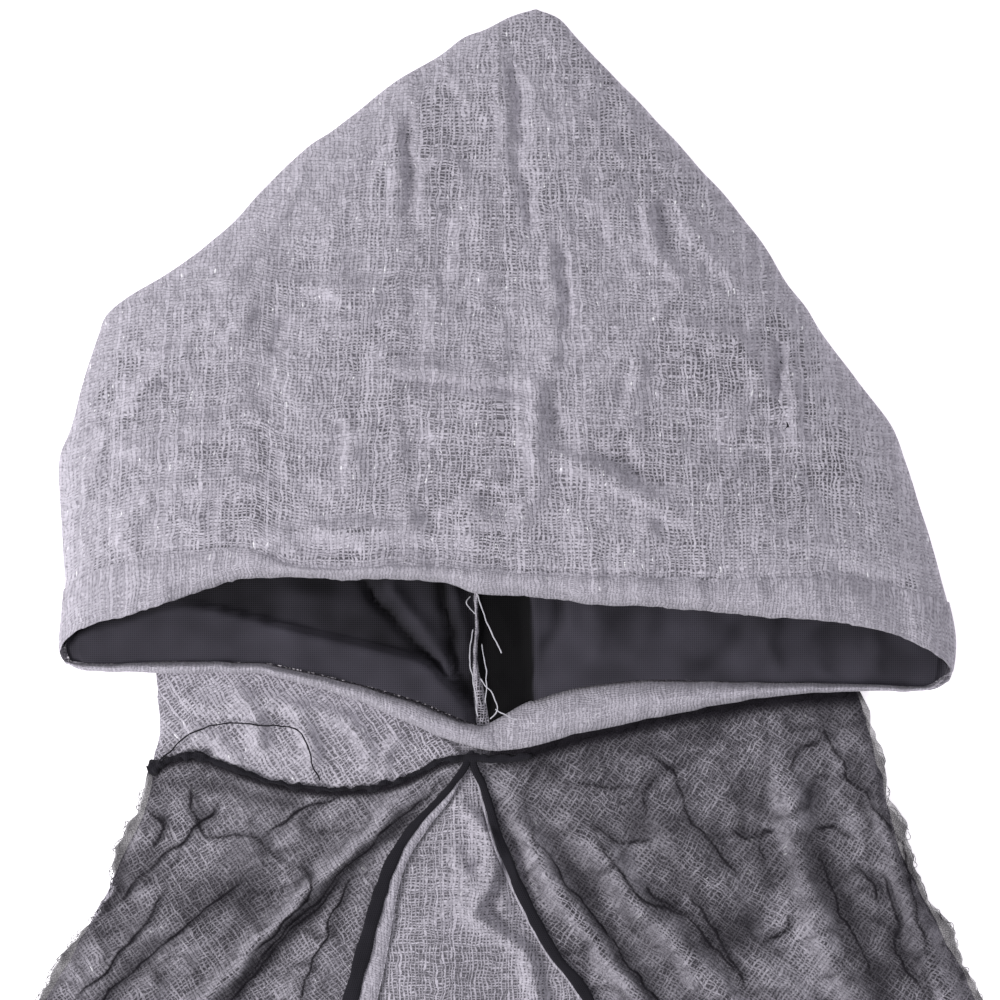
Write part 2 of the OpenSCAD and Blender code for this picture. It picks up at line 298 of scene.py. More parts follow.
MATH, VECTOR, RANGE = "ShaderNodeMath", "ShaderNodeVectorMath", "ShaderNodeMapRange"
NOISE, MIX, ATTRIBUTE = "ShaderNodeTexNoise", "ShaderNodeMix", "ShaderNodeAttribute"


def open_weave(name, thread, shade, warp, weft, cover, gap_alpha, slub=0.0, fuzz=0.35, thread_alpha=1.0,
               sheen=0.12):
    """A plain weave of uneven threads with gaps between them.

    Each thread is a stripe at a whole number of pitches across the cloth, set off its place by its own random
    number, and widened by that number and by noise along it. The attribute "open" is 1 where the threads lie
    apart and 0 where the cloth bunches, which closes the gaps. warp and weft are the thread pitches in
    millimetres, and cover is a thread's share of its pitch where open is 0. gap_alpha and thread_alpha are
    how solid gaps and threads are where it is 1. fuzz is the tone of the gaps, and slub is the strength of
    the pale flecks.
    """
    material, t = new_tree(name)
    cloth = add(t, ATTRIBUTE, out="Vector", attribute_name="cloth")
    opened = add(t, ATTRIBUTE, out="Fac", attribute_name="open")
    for size, reach in ((9.0, 1.7), (2.6, 0.55)):
        scaled = add(t, VECTOR, {0: cloth, 1: [1 / size] * 3}, operation="MULTIPLY")
        wave = add(t, NOISE, {"Vector": scaled, "Scale": 1.0, "Detail": 1.0}, out="Color")
        centred = add(t, VECTOR, {0: wave, 1: [0.5] * 3}, operation="SUBTRACT")
        cloth = add(t, VECTOR, {0: centred, 1: [2 * reach] * 3, 2: cloth}, operation="MULTIPLY_ADD")
    split = add(t, "ShaderNodeSeparateXYZ", {0: cloth}, out="X")
    x, y = split, split.node.outputs["Y"]
    lines, tones = [], []
    for across, along, pitch in ((x, y, warp), (y, x, weft)):
        place = add(t, MATH, {0: across, 1: pitch}, operation="DIVIDE")
        index = add(t, MATH, {0: place}, operation="FLOOR")
        own = add(t, "ShaderNodeTexWhiteNoise", {"W": index}, out="Value", noise_dimensions="1D")
        shift = add(t, MATH, {0: own, 1: 0.36, 2: -0.68}, operation="MULTIPLY_ADD")
        middle = add(t, MATH, {0: index, 1: shift}, operation="SUBTRACT")
        gap = add(t, MATH, {0: place, 1: middle}, operation="SUBTRACT")
        gap = add(t, MATH, {0: gap}, operation="ABSOLUTE")
        lane = add(t, MATH, {0: index, 1: 5.37}, operation="MULTIPLY")
        run = add(t, MATH, {0: along, 1: 0.34}, operation="MULTIPLY")
        spot = add(t, "ShaderNodeCombineXYZ", {0: lane, 1: run})
        streak = {"Vector": spot, "Scale": 1.0, "Detail": 2.0}
        uneven = add(t, NOISE, streak, out="Fac", noise_dimensions="2D")
        half = add(t, MATH, {0: uneven, 1: 0.42, 2: cover / 2 - 0.21}, operation="MULTIPLY_ADD")
        half = add(t, MATH, {0: own, 1: 0.07, 2: half}, operation="MULTIPLY_ADD")
        narrow = add(t, MATH, {0: opened, 1: -0.17, 2: half}, operation="MULTIPLY_ADD")
        inner = add(t, MATH, {0: narrow, 1: 0.1}, operation="SUBTRACT")
        outer = add(t, MATH, {0: narrow, 1: 0.1}, operation="ADD")
        stripe = {0: gap, 1: inner, 2: outer, 3: 1.0, 4: 0.0}
        lines.append(add(t, RANGE, stripe, interpolation_type="SMOOTHSTEP"))
        tones.append(add(t, MATH, {0: own, 1: 0.4, 2: uneven}, operation="MULTIPLY_ADD"))
    cover_all = add(t, MATH, {0: lines[0], 1: lines[1]}, operation="MAXIMUM")
    tone = add(t, MIX, {0: lines[0], 2: tones[1], 3: tones[0]}, data_type="FLOAT")
    tone = add(t, RANGE, {0: tone, 1: 0.35, 2: 1.05, 3: 0.45, 4: 1.0})
    tone = add(t, MIX, {0: cover_all, 2: fuzz, 3: tone}, data_type="FLOAT")
    grain = add(t, NOISE, {"Vector": cloth, "Scale": 1.3, "Detail": 2.0}, out="Fac")
    grain = add(t, MATH, {0: grain, 1: 0.9, 2: -0.45}, operation="MULTIPLY_ADD")
    tone = add(t, MATH, {0: tone, 1: grain}, operation="ADD", use_clamp=True)
    colour = add(t, MIX, {0: tone, 6: linear(shade), 7: linear(thread)}, out=2, data_type="RGBA")
    if slub:
        stretched = add(t, VECTOR, {0: cloth, 1: [1.1, 0.28, 1.0]}, operation="MULTIPLY")
        fleck = add(t, NOISE, {"Vector": stretched, "Scale": 1.0, "Detail": 0.0}, out="Fac")
        fleck = add(t, RANGE, {0: fleck, 1: 0.79, 2: 0.85, 3: 0.0, 4: slub})
        colour = add(t, MIX, {0: fleck, 6: colour, 7: linear("#f2f0f4")}, out=2, data_type="RGBA")
    height = add(t, MATH, {0: lines[0], 1: lines[1]}, operation="ADD")
    height = add(t, MATH, {0: tone, 1: 0.8, 2: height}, operation="MULTIPLY_ADD")
    normal = add(t, "ShaderNodeBump", {"Height": height, "Strength": 0.55, "Distance": 0.0004})
    least = add(t, RANGE, {0: opened, 1: 0.0, 2: 1.0, 3: 1.0, 4: gap_alpha})
    most = add(t, RANGE, {0: opened, 1: 0.0, 2: 1.0, 3: 1.0, 4: thread_alpha})
    alpha = add(t, RANGE, {0: cover_all, 1: 0.0, 2: 0.9, 3: least, 4: most})
    shader = add(t, "ShaderNodeBsdfPrincipled", {
        "Base Color": colour, "Roughness": 0.95, "Specular IOR Level": 0.1, "Sheen Weight": sheen,
        "Sheen Roughness": 0.6, "Alpha": alpha, "Normal": normal,
    })
    add_output(t, shader)
    return material


def close_cloth(name, base, light, pitch, bump, rough=0.85, sheen=0.1, weave=0.2):
    """A close fine mesh or tape: two crossed sets of rounded threads, with slow cloudy changes of tone. A
    float attribute on the mesh darkens it: this is painted shade, laid on the linings where they lie in
    hollows, in creases and under the gauze. pitch is in millimetres, and weave is how much the threads show
    against the clouds."""
    material, t = new_tree(name)
    cloth = add(t, ATTRIBUTE, out="Vector", attribute_name="cloth")
    scaled = add(t, VECTOR, {0: cloth, 1: [1 / pitch] * 3}, operation="MULTIPLY")
    split = add(t, "ShaderNodeSeparateXYZ", {0: scaled}, out="X")
    waves = []
    for turn in (split, split.node.outputs["Y"]):
        angle = add(t, MATH, {0: turn, 1: 2 * math.pi}, operation="MULTIPLY")
        waves.append(add(t, MATH, {0: angle}, operation="SINE"))
    height = add(t, MATH, {0: waves[0], 1: waves[1]}, operation="MAXIMUM")
    cloud = add(t, VECTOR, {0: cloth, 1: [0.05] * 3}, operation="MULTIPLY")
    cloud = add(t, NOISE, {"Vector": cloud, "Scale": 1.0, "Detail": 1.0}, out="Fac")
    mixed = add(t, MATH, {0: height, 1: weave, 2: cloud}, operation="MULTIPLY_ADD")
    mixed = add(t, RANGE, {0: mixed, 1: -0.1, 2: 1.2})
    doubled = add(t, ATTRIBUTE, out="Fac", attribute_name="doubled")
    mixed = add(t, MATH, {0: mixed, 1: doubled}, operation="SUBTRACT")
    colour = add(t, MIX, {0: mixed, 6: linear(base), 7: linear(light)}, out=2, data_type="RGBA",
                 clamp_factor=True)
    normal = add(t, "ShaderNodeBump", {"Height": height, "Strength": bump, "Distance": 0.0002})
    shader = add(t, "ShaderNodeBsdfPrincipled", {
        "Base Color": colour, "Roughness": rough, "Specular IOR Level": 0.15, "Sheen Weight": sheen,
        "Normal": normal,
    })
    add_output(t, shader)
    return material


def add_output(tree, shader):
    output = tree.nodes.new("ShaderNodeOutputMaterial")
    tree.links.new(shader, output.inputs["Surface"])


# Cotton cheesecloth, loosely woven and washed: matte and fuzzy, with uneven grey threads and small dark gaps
gauze = open_weave("cotton_cheesecloth", "#c5c0ca", "#68646d", 1.7, 1.32, 0.6, 0.1, slub=0.9)
# The same cloth close over the table: its gaps are drawn as nearly solid dark specks, a painted shadow of the
# cloth on the table
gauze_shaded = open_weave(
    "cotton_cheesecloth_shaded", "#c2bdc7", "#45424a", 1.45, 1.22, 0.66, 0.9, slub=0.4, fuzz=0.08)
# The same cloth turned double in a hem, so that few gaps go through it
gauze_double = open_weave(
    "cotton_cheesecloth_double", "#c1bcc6", "#6c6871", 1.45, 0.95, 0.62, 0.8, slub=0.5, fuzz=0.4)
# Black crinkled net, sheer where it is single and nearly solid where it bunches
net = open_weave(
    "crinkled_cotton_net", "#221f25", "#1a181c", 0.95, 0.85, 0.34, 0.1, thread_alpha=0.48, sheen=0.0)
# Black tricot mesh lining: close and dull, with slow cloudy changes of tone
lining = close_cloth("tricot_mesh_lining", "#09080a", "#514e58", 0.85, 0.4, sheen=0.04, weave=0.22)
# Black cotton tape: an even, dull black
tape = close_cloth("cotton_binding_tape", "#131216", "#2a282f", 0.8, 0.6, sheen=0.04)
# Raw cotton threads drawn from the cut edges: pale and matte against the black lining
raw_thread = close_cloth("raw_cotton_thread", "#b9b6bf", "#dddbe2", 0.5, 0.4)

# --- The hood ---

# Side folds from the face edge up to the point
LEFT_SIDE = [
    (-172, 50), (-176, 58), (-175, 74), (-174, 90), (-176, 117), (-176, 134), (-172, 147), (-166, 168),
    (-161, 184), (-157.5, 192), (-149, 199), (-135, 208), (-117, 220), (-104, 232), (-88, 250), (-76, 260),
    (-62, 270), (-42, 286), (-24, 296), (-14, 304), (-6, 307), (4, 312), (14, 315),
]
RIGHT_SIDE = [
    (174, 42), (180, 46), (182, 62), (178, 82), (170, 110), (160, 140), (152, 154), (140, 170), (120, 198),
    (104, 222), (86, 244), (76, 256), (60, 274), (46, 288), (32, 302), (24, 311), (14.5, 315),
]
HEM_TOP = [
    (-173, 82), (-158, 90), (-140, 95), (-111, 98), (-98, 98), (-84, 92), (-66, 90.5), (-40, 92), (-14, 90.5),
    (10, 88.5), (40, 87.5), (72, 86), (99, 86), (128, 86.5), (150, 83), (172, 77),
]
BROW_EDGE = [
    (-177, 57), (-173.5, 62), (-164, 67.5), (-143, 73.4), (-123, 79.8), (-106, 85.6), (-84, 86.5), (-60, 86),
    (-24, 85), (-8, 80.5), (14, 79), (36, 76.4), (59, 75), (81, 73.6), (103, 71.4), (125, 69.8), (148, 66.4),
    (165, 61), (176, 55), (182.5, 49),
]
NECK_LINE = [
    (-174, 52.4), (-168, 49.8), (-160, 49), (-133, 48.4), (-108, 48.2), (-92, 47.4), (-62, 38.8),
    (-46, 32.5), (-31, 25.8), (-18, 20.5), (-4, 17), (8, 17.4), (30, 23.4), (59, 29.8), (81, 34.2),
    (103, 38), (125, 40.4), (148, 41), (164, 41), (172, 41.8), (177, 45),
]
FACE_EDGE = [
    (-175, 53), (-160, 52), (-133, 53.2), (-108, 52.8), (-92, 51.8), (-62, 45), (-46, 40.8), (-31, 36),
    (-18, 30.4), (-8, 27), (-1, 29.5), (5, 33), (12, 37), (25, 41.4), (41, 44.2), (59, 45.8), (81, 45.4),
    (103, 44.8), (125, 44.6), (148, 43.8), (164, 43), (172, 43.4), (179, 47.4),
]
left_side, right_side = Curve(LEFT_SIDE), Curve(RIGHT_SIDE)
hem_top, brow_edge = Curve(HEM_TOP), Curve(BROW_EDGE)
neck_line, face_edge = Curve(NECK_LINE), Curve(FACE_EDGE)

# Folds of the hood's upper layer. Each row of a fold table is a height, a width and a line
HOOD_FOLDS = [
    (-2.2, 2.6, [(5, 306), (8, 278), (9, 258), (10, 238), (14, 216)]),
    (1.6, 3.0, [(0, 300), (1, 270), (2, 245)]),
    (2.2, 2.6, [(20, 232), (19, 210), (22, 190), (21, 176), (18, 160)]),
    (-2.2, 2.0, [(25.5, 222), (26, 202), (28, 184)]),
    (1.6, 2.8, [(31, 230), (42, 237), (58, 244)]),
    (-1.2, 2.2, [(41, 234), (42, 216)]),
    (1.6, 2.8, [(59, 260), (58, 238), (64, 214), (76, 200)]),
    (-1.4, 2.2, [(64, 240), (64, 216)]),
    (1.4, 2.6, [(40, 290), (34, 276), (30, 262)]),
    (-2.4, 3.4, [(-36, 282), (-36, 258), (-35, 238), (-35, 216)]),
    (1.6, 3.4, [(-43, 270), (-41, 252), (-44, 234)]),
    (-1.8, 2.4, [(-47, 260), (-56, 248), (-68, 240)]),
    (2.6, 4.0, [(-74, 258), (-86, 238), (-98, 220), (-108, 204), (-112, 190)]),
    (2.0, 4.0, [(-92, 206), (-108, 194), (-124, 180), (-138, 169), (-152, 150), (-166, 124), (-174, 112)]),
    (-2.2, 2.8, [(-83, 193), (-91, 175)]),
    (1.8, 3.2, [(-42, 216), (-46, 204), (-58, 190), (-80, 178)]),
    (1.8, 2.4, [(-156, 136), (-124, 146), (-98, 159)]),
    (-1.6, 2.2, [(-118, 150), (-90, 163)]),
    (1.4, 2.2, [(-44, 170), (-28, 171)]),
    (-2.0, 2.2, [(-36, 168), (-14, 163), (14, 160)]),
    (1.4, 2.4, [(-20, 172), (0, 168), (18, 164)]),
    (3.4, 4.6, [(16, 168), (14, 154), (13, 138), (14, 128)]),
    (-2.6, 5.0, [(22, 158), (22, 146), (34, 140)]),
    (3.0, 3.4, [(14, 140), (36, 130), (56, 120), (86, 106)]),
    (-2.0, 5.0, [(30, 140), (50, 130), (74, 124)]),
    (2.6, 3.2, [(14, 140), (14, 122), (6, 109), (-10, 109), (-22, 99)]),
    (1.4, 2.4, [(2, 136), (-12, 116), (-22, 110)]),
    (3.0, 3.4, [(-100, 98), (-84, 105), (-64, 106.5), (-38, 106), (-24, 110)]),
    (-2.2, 3.0, [(-96, 96), (-72, 98), (-36, 98), (-14, 97), (4, 97)]),
    (2.2, 3.2, [(62, 112), (56, 100), (50, 92)]),
    (-2.2, 2.8, [(128, 92), (146, 88), (168, 83)]),
    (-2.6, 2.4, [(112, 186), (111, 170), (109, 154)]),
    (2.4, 2.4, [(117, 176), (117, 154), (121, 136)]),
    (-1.6, 3.0, [(102, 149), (116, 145)]),
    (2.0, 3.6, [(62, 190), (92, 181), (106, 164), (112, 148)]),
    (1.8, 2.8, [(55, 178), (52, 150), (56, 130)]),
    (-1.2, 2.4, [(49, 170), (48, 156)]),
    (1.2, 3.0, [(118, 134), (124, 114), (128, 98)]),
    (-1.8, 2.4, [(-26, 144), (-38, 135)]),
    (-1.6, 2.6, [(-64, 152), (-64, 122)]),
    (1.4, 2.6, [(-58, 146), (-57, 120)]),
    (-1.4, 2.6, [(-43, 130), (-42, 118)]),
    (1.8, 2.6, [(-37, 124), (-37, 104)]),
    (2.0, 3.0, [(-132, 126), (-148, 112), (-150, 96)]),
    (1.6, 2.6, [(-110, 120), (-109, 98)]),
    (1.4, 2.6, [(-101, 148), (-96, 128)]),
    (-1.6, 6.0, [(-150, 108), (-128, 116), (-104, 112)]),
    (-2.0, 7.0, [(70, 142), (96, 138), (128, 128)]),
    (1.6, 3.0, [(90, 104), (118, 100), (150, 98)]),
    (1.6, 4.0, [(150, 150), (160, 122), (168, 98)]),
    (1.6, 3.0, [(70, 232), (86, 214), (98, 200)]),
    (-1.4, 3.0, [(-20, 240), (-22, 214), (-18, 190)]),
    (1.2, 3.4, [(-8, 246), (-8, 214), (-4, 186)]),
    (2.6, 4.0, [(-174, 104), (-164, 126), (-148, 138), (-129, 144), (-115, 146.5), (-104, 151)]),
    (2.8, 4.4, [(-156, 146), (-135, 169), (-108, 181), (-98, 196), (-86, 203), (-70, 203), (-54, 200),
                (-37, 208)]),
    (2.2, 3.4, [(-156, 98), (-135, 119), (-108, 126), (-80, 124)]),
    (2.0, 2.8, [(-45, 167), (-33, 171), (-16, 167), (8, 163)]),
]


def bulge(s):
    """The hood's cross-section: 0 at the side folds with upright tangents, nearly flat in the middle."""
    return (1 - np.abs(s) ** 2.6) ** 0.55


def rim(y):
    """Height of the side folds: half the fold's roll, lower towards the point."""
    return 4.6 - 2.4 * ease(60, 310, y)


def patch(left, right, bottom, rows, cols):
    """A surface between two side lines and a bottom line: each row runs straight from side to side, and the
    bottom line's own bend fades out towards the top. s runs from -1 to 1 across and t from 0 to 1 up."""
    s = np.sin(np.linspace(-1, 1, cols) * math.pi / 2)
    t = np.linspace(0, 1, rows)
    u = (s + 1) / 2
    ends = []
    for side, low_y in ((left, bottom.line[0, 1]), (right, bottom.line[-1, 1])):
        first = np.interp(low_y, side.line[:, 1], side.share)
        ends.append(side.at(first + (1 - first) * t)[:, None])
    flat = ends[0] * (1 - u)[None, :, None] + ends[1] * u[None, :, None]
    bend = bottom.at(u) - flat[0]
    bend -= bend[0] * (1 - u)[:, None] + bend[-1] * u[:, None]
    p = flat + ((1 - t) ** 2)[:, None, None] * bend[None]
    return p[..., 0], p[..., 1], s[None] + 0 * p[..., 0], t[:, None] + 0 * p[..., 0]


def slope(x, y, z):
    """How steep a sheet is, from 0 on the level."""
    dz = np.stack(np.gradient(z))
    dx = np.stack(np.gradient(x))
    dy = np.stack(np.gradient(y))
    run = np.sqrt(dx ** 2 + dy ** 2).clip(0.05)
    return np.abs(dz / run).max(0)


def openness(x, y, z, seed, base=0.5, patchy=0.2):
    """How far apart the threads lie: patches from noise, closed on slopes and folds."""
    cloud = patchy * noise(x, y, 26, seed) + 0.7 * patchy * noise(x, y, 9, seed + 1)
    cloud = cloud + 0.12 * noise(x, y, 4, seed + 2)
    return np.clip(base + cloud - 0.8 * ease(0.15, 0.8, slope(x, y, z)), 0, 1)


HOOD_ROWS, HOOD_COLS = 230, 260
x, y, s, t = patch(left_side, right_side, hem_top, HOOD_ROWS, HOOD_COLS)
lift = (BROW_Z - rim(60)) * (1 - t) ** 0.82
creases = 1.15 * folds(x, y, HOOD_FOLDS)
ripples = (
    1.1 * noise(x, y, 34, 3) + 1.0 * noise(x, y, 12, 4) + 1.4 * crumple(x * 1.5, y, 19, 5)
    + 0.45 * noise(x * 1.6, y, 6.5, 6) + 0.7 * crumple(x * 1.5, y, 9, 7) + 0.16 * noise(x, y, 3.2, 10)
)
inward = 1 - np.abs(s) ** 10
tip = 1 - ease(0.9, 1.0, t)
# A groove just above the brow hem
hollow = -1.8 * np.exp(-(((y - hem_top.y_at(x) - 2.0) / 2.6) ** 2))
z = rim(y) + lift * bulge(s) + (creases + ripples + hollow) * inward * (0.35 + 0.65 * tip) * (1 - t ** 12)
x = x + 0.7 * noise(x, y, 14, 8) * ease(0.8, 1, np.abs(s)) * tip
y = y + 0.5 * noise(x, y, 11, 9) * ease(0.8, 1, np.abs(s)) * tip
upper = x, y, z, s, t

# The grain follows the brow hem low down and runs straight up and down above
brow_tilt = (hem_top.y_at(x) - 90) * (1 - t) ** 1.5
cloth = x + 0.04 * (y - 180) * np.sign(x), y - brow_tilt
# The weave is drawn close on the left flank
flank = ease(0.55, 0.8, -s) * ease(0.25, 0.45, t) * 0.6
opened = openness(x, y, z, 20) - flank
hood_upper = to_mesh("hood_upper", x, y, z, cloth, gauze, pole=True, open=opened.clip(0, 1))


def hem_profile(q, width, full):
    """A hem of full depth seen as width from above: the rest of it hangs down in a quarter ellipse."""
    drop = np.sqrt(np.maximum(full ** 2 - width ** 2, 0)) * 0.8
    return np.sin(q * math.pi / 2), drop, 1 - np.cos(q * math.pi / 2)


HEM_DEPTH = 20.0


def brow_hem_grid(inside):
    """Rows from the hem's stitched top edge down to the brow edge, then turned under and back. The whole grid
    lies inside the gauze by the distance given."""
    q = np.concatenate([np.linspace(0, 1, 18), np.linspace(1.08, 1.5, 6)])[:, None]
    u = (upper[3][0] + 1) / 2
    top, edge = np.stack([upper[0][0], upper[1][0]], -1), brow_edge.at(u)
    ragged = 0.35 * noise(u * 360, u * 0, 1.9, 31) + 0.5 * noise(u * 360, u * 0, 9, 32)
    width = np.linalg.norm(edge - top, axis=1)
    reach, drop, fall = hem_profile(np.minimum(q, 1), width[None], HEM_DEPTH)
    height = upper[2][0][None]
    drop = np.minimum(drop, (height - rim(60)) * 0.75)
    puff = 2.2 * np.sin(np.minimum(q, 1) * math.pi) ** 0.5
    tuck = np.maximum(q - 1, 0)
    edge_y = edge[:, 1] + ragged
    hx = top[:, 0] + (edge[:, 0] - top[:, 0]) * reach
    hy = top[:, 1] + (edge_y - top[:, 1]) * reach + tuck * 9.0
    hz = height - drop * fall + puff * bulge(upper[3][0]) ** 2 - 5.0 * tuck
    wave = noise(hx, hy, 9, 33) * 1.1 + noise(hx, hy, 24, 34) * 1.5
    hz = hz + wave * np.sin(np.minimum(q, 1) * math.pi) * bulge(upper[3][0])
    left_x = np.interp(hy[:, 0], left_side.line[:, 1], left_side.line[:, 0]) - 0.5
    right_x = np.interp(hy[:, -1], right_side.line[:, 1], right_side.line[:, 0]) + 0.5
    hx = hx + (left_x - hx[:, 0])[:, None] * (1 - u) ** 14 + (right_x - hx[:, -1])[:, None] * u ** 14
    return hx, hy + inside, (hz - inside).clip(2.2)


x, y, z = brow_hem_grid(0.0)
q_down = np.linspace(0, 24, x.shape[0])[:, None]
cloth = x + 0 * q_down, -q_down + 0 * x
brow_hem = to_mesh("brow_hem", x, y, z, cloth, gauze_double, open=0.3 + 0.3 * noise(x, y, 12, 35))

# Lining of the upper layer: up the inside of the hem, then close under the gauze. It is drawn in a little, so
# that it stays inside the side folds
LINING_GAP, DRAWN_IN = 1.3, 0.99
hx, hy, hz = brow_hem_grid(LINING_GAP)
lx, ly, lz = (upper[k][::2] for k in range(3))
x = np.vstack([hx[18::-3], lx]) * DRAWN_IN
y = np.vstack([hy[18::-3], ly])
z = np.vstack([hz[18::-3] - np.linspace(0, 1.6, 7)[:, None], lz - 1.5 - 1.4 * ease(0.06, 0, upper[4][::2])])
# The upper lining is darkened by half all over: painted shade under the gauze, inside the hood
hood_upper_lining = to_mesh("hood_upper_lining", x, y, z, (x, y), lining, up=False, pole=True, doubled=0.5)


def side_curl(x, s, reach):
    """0 inside, rising to 1 over the last reach of cloth before each side fold; and each row's half width."""
    half_width = np.maximum((x.max(1) - x.min(1)) / 2, 8)[:, None]
    start = 1 - reach / half_width
    return np.clip((np.abs(s) - start) / (1 - start), 0, 1), half_width


# Lower layer: on the table, curling up to the side folds
x, y, s, t = patch(left_side, right_side, neck_line, 150, 190)
curl = side_curl(x, s, 6.0)[0]
z = 0.35 + (rim(y) - 0.35) * (1 - np.sqrt(1 - curl ** 2))
x = x + 0.7 * noise(x, y, 14, 8) * ease(0.8, 1, np.abs(s)) * (1 - ease(0.9, 1, t))
y = y + 0.5 * noise(x, y, 11, 9) * ease(0.8, 1, np.abs(s)) * (1 - ease(0.9, 1, t)) * ease(0, 0.1, t)
hood_under = to_mesh(
    "hood_under", x, y, z, (x, y), gauze, up=False, pole=True, open=openness(x, y, z, 40).clip(0, 1)
)

# Inner edge of the turned lining left of the throat, and the pleats that run into the nape
FACING_EDGE = [(-176, 62), (-150, 69), (-126, 75), (-100, 70), (-80, 64.5), (-36, 54), (-22, 46), (-9, 30)]
NAPE_PLEATS = [
    (-4.5, 1.6, [(-60, 92), (-52, 80), (-36, 62), (-20, 44), (-12, 30)]),
    (3.0, 3.0, [(-48, 94), (-38, 76), (-24, 56), (-14, 38)]),
    (-4.5, 1.5, [(-26, 96), (-23, 82), (-20, 60), (-13, 34)]),
    (2.4, 2.0, [(-20, 94), (-17, 78), (-13, 52)]),
    (1.4, 5.0, [(-96, 84), (-70, 78), (-48, 72)]),
    (-2.4, 2.4, [(20, 84), (24, 74), (18, 58), (14, 48)]),
    (1.8, 3.0, [(36, 80), (40, 66), (36, 52)]),
    (1.6, 4.0, [(62, 78), (56, 62), (50, 50)]),
    (-1.8, 3.4, [(102, 74), (90, 60), (76, 49)]),
    (2.0, 2.6, [(112, 72), (107, 60), (112, 48)]),
    (-2.0, 5.0, [(128, 70), (134, 58), (130, 48)]),
    (1.6, 3.0, [(148, 66), (152, 56), (148, 48)]),
]
facing_edge = Curve(FACING_EDGE)


def lining_height(x, y):
    """Floor of the hood's inside: a turned facing left of the throat, a deep dark channel at the nape, and a
    raised side to the right of it that slopes away under the brow."""
    near_end = np.sqrt(np.clip(1 - (x / 184) ** 2, 0.02, 1))
    left = 8.5 * near_end * ease(2.6, 0, y - facing_edge.y_at(x)) * ease(-9, -14, x)
    beyond = (3.2 * ease(-9, -22, x) * ease(170, 90, y)) * near_end
    right = 8.0 * near_end * ease(11, 13.5, x + 0.05 * (y - 60)) * ease(150, 92, y)
    z = np.maximum(left, beyond) + right
    rumple = 0.5 * noise(x, y, 15, 50) + 0.3 * noise(x, y, 6, 51)
    return z + folds(x, y, NAPE_PLEATS) * near_end + rumple * near_end


# Lining of the lower layer, set in a little from the side folds
x, y, s, t = patch(left_side, right_side, face_edge, 200, 240)
curl, half_width = side_curl(x, s, 5.0)
inset = 2.4 / half_width
mid = (x[:, :1] + x[:, -1:]) / 2
x = mid + (x - mid) * (1 - inset)
z = 1.3 + np.maximum(lining_height(x, y), 0) * (1 - curl) + (rim(y) - 1.8) * (1 - np.sqrt(1 - curl ** 2))
# Painted shade on the lower lining: full in the nape channel, about a third past the facing's edge where the
# brow shades it, lighter on the pleats' ridges and darker in their hollows, with a little random tone
channel = ease(-11, -6, x) * ease(13.5, 11, x + 0.05 * (y - 60))
inner = ease(-1, 4, y - facing_edge.y_at(x)) * ease(-6, -12, x)
doubled = np.maximum(1.0 * channel, 0.36 * inner) + 0.06 * noise(x, y, 24, 52)
doubled = doubled - (0.05 + 0.05 * ease(13, 30, x)) * folds(x, y, NAPE_PLEATS) * (1 - channel)
hood_under_lining = to_mesh(
    "hood_under_lining", x, y, z, (x, y), lining, pole=True, doubled=doubled.clip(0, 1))


def face_roll(name, start, end, base, height, spread, seed):
    """The face edge in front of the neck: a half-round roll of gauze turned double, between the neck line and
    the face edge, its rows running round the roll and its columns along it."""
    k = np.linspace(start, end, 150)
    foot = np.stack([k, neck_line.y_at(k)], -1)
    edge = np.stack([k, face_edge.y_at(k)], -1)
    middle, half = (foot + edge) / 2, np.maximum((edge[:, 1] - foot[:, 1]) / 2, 0.6) * spread
    turn = np.radians(np.linspace(-32, 205, 22))[:, None]
    along = (k - start) / (end - start)
    swell = np.sin(math.pi * along.clip(0, 1)) ** 0.5
    rx = middle[:, 0] + 0 * turn
    ry = middle[:, 1] - np.cos(turn) * half
    lumps = 0.5 * noise(rx, ry * 2, 11, seed) + 0.3 * noise(rx, ry, 4, seed + 1)
    rz = base + (1.6 + height * swell) * np.sin(turn).clip(0) + 1.4 * np.sin(turn).clip(None, 0)
    rz = rz + lumps * np.sin(turn).clip(0)
    ry = ry + 0.4 * noise(rx, 0 * ry, 6, seed + 2)
    around_roll = np.cumsum(np.hypot(np.gradient(ry, axis=0), np.gradient(rz, axis=0)), axis=0)
    opened = 0.42 + 0.35 * noise(rx, ry, 9, seed + 3)
    return to_mesh(name, rx, ry, rz, (rx, around_roll), gauze_double, open=opened.clip(0, 1))


face_left = face_roll("face_roll_left", -174.5, 1, 3.4, 8.0, 1.0, 60)
face_right = face_roll("face_roll_right", -6, 178, 2.6, 9.5, 1.02, 65)

# Frayed seam allowance of the nape seam, wider and laddered where it ends at the throat
v = np.linspace(0, 1, 60)[:, None]
u = np.linspace(-1, 1, 12)[None]
width = 1.0 + 2.6 * ease(0.4, 0.9, v) + 0.35 * noise(v * 50, u * 3, 3, 70)
x = -9.6 + 1.5 * v * ease(0.5, 1, v) * 2 + u * width / 1.4 + 0.4 * noise(v * 50, u * 0, 8, 71)
y = 82 - 57 * v + 0 * u
z = 2.4 + 2.4 * (1 - u ** 2) * ease(0, 0.3, v) * ease(1, 0.8, v) + 0.5 * noise(v * 50, u * 4, 5, 72)
opened = 0.35 + 0.75 * ease(0.5, 0.8, v) * (1 - u ** 2) + 0 * z
seam_allowance = to_mesh("seam_allowance_cloth", x, y, z, (x * 1.4, y * 1.2), gauze, open=opened.clip(0, 1))


def thread(name, points, radius, material, seed, steps=60):
    """A loose thread: a thin cord along a smooth line with a little kink in it."""
    line = Curve(points)
    k = np.linspace(0, 1, steps)
    path = line.at(k)
    path[:, 0] += 0.35 * noise(k * line.length, k * 0, 3.2, seed)
    path[:, 1] += 0.35 * noise(k * line.length, k * 0 + 9, 3.2, seed)
    return cords(name, [path], radius, material, sides=6, rough=0.25, seed=seed)


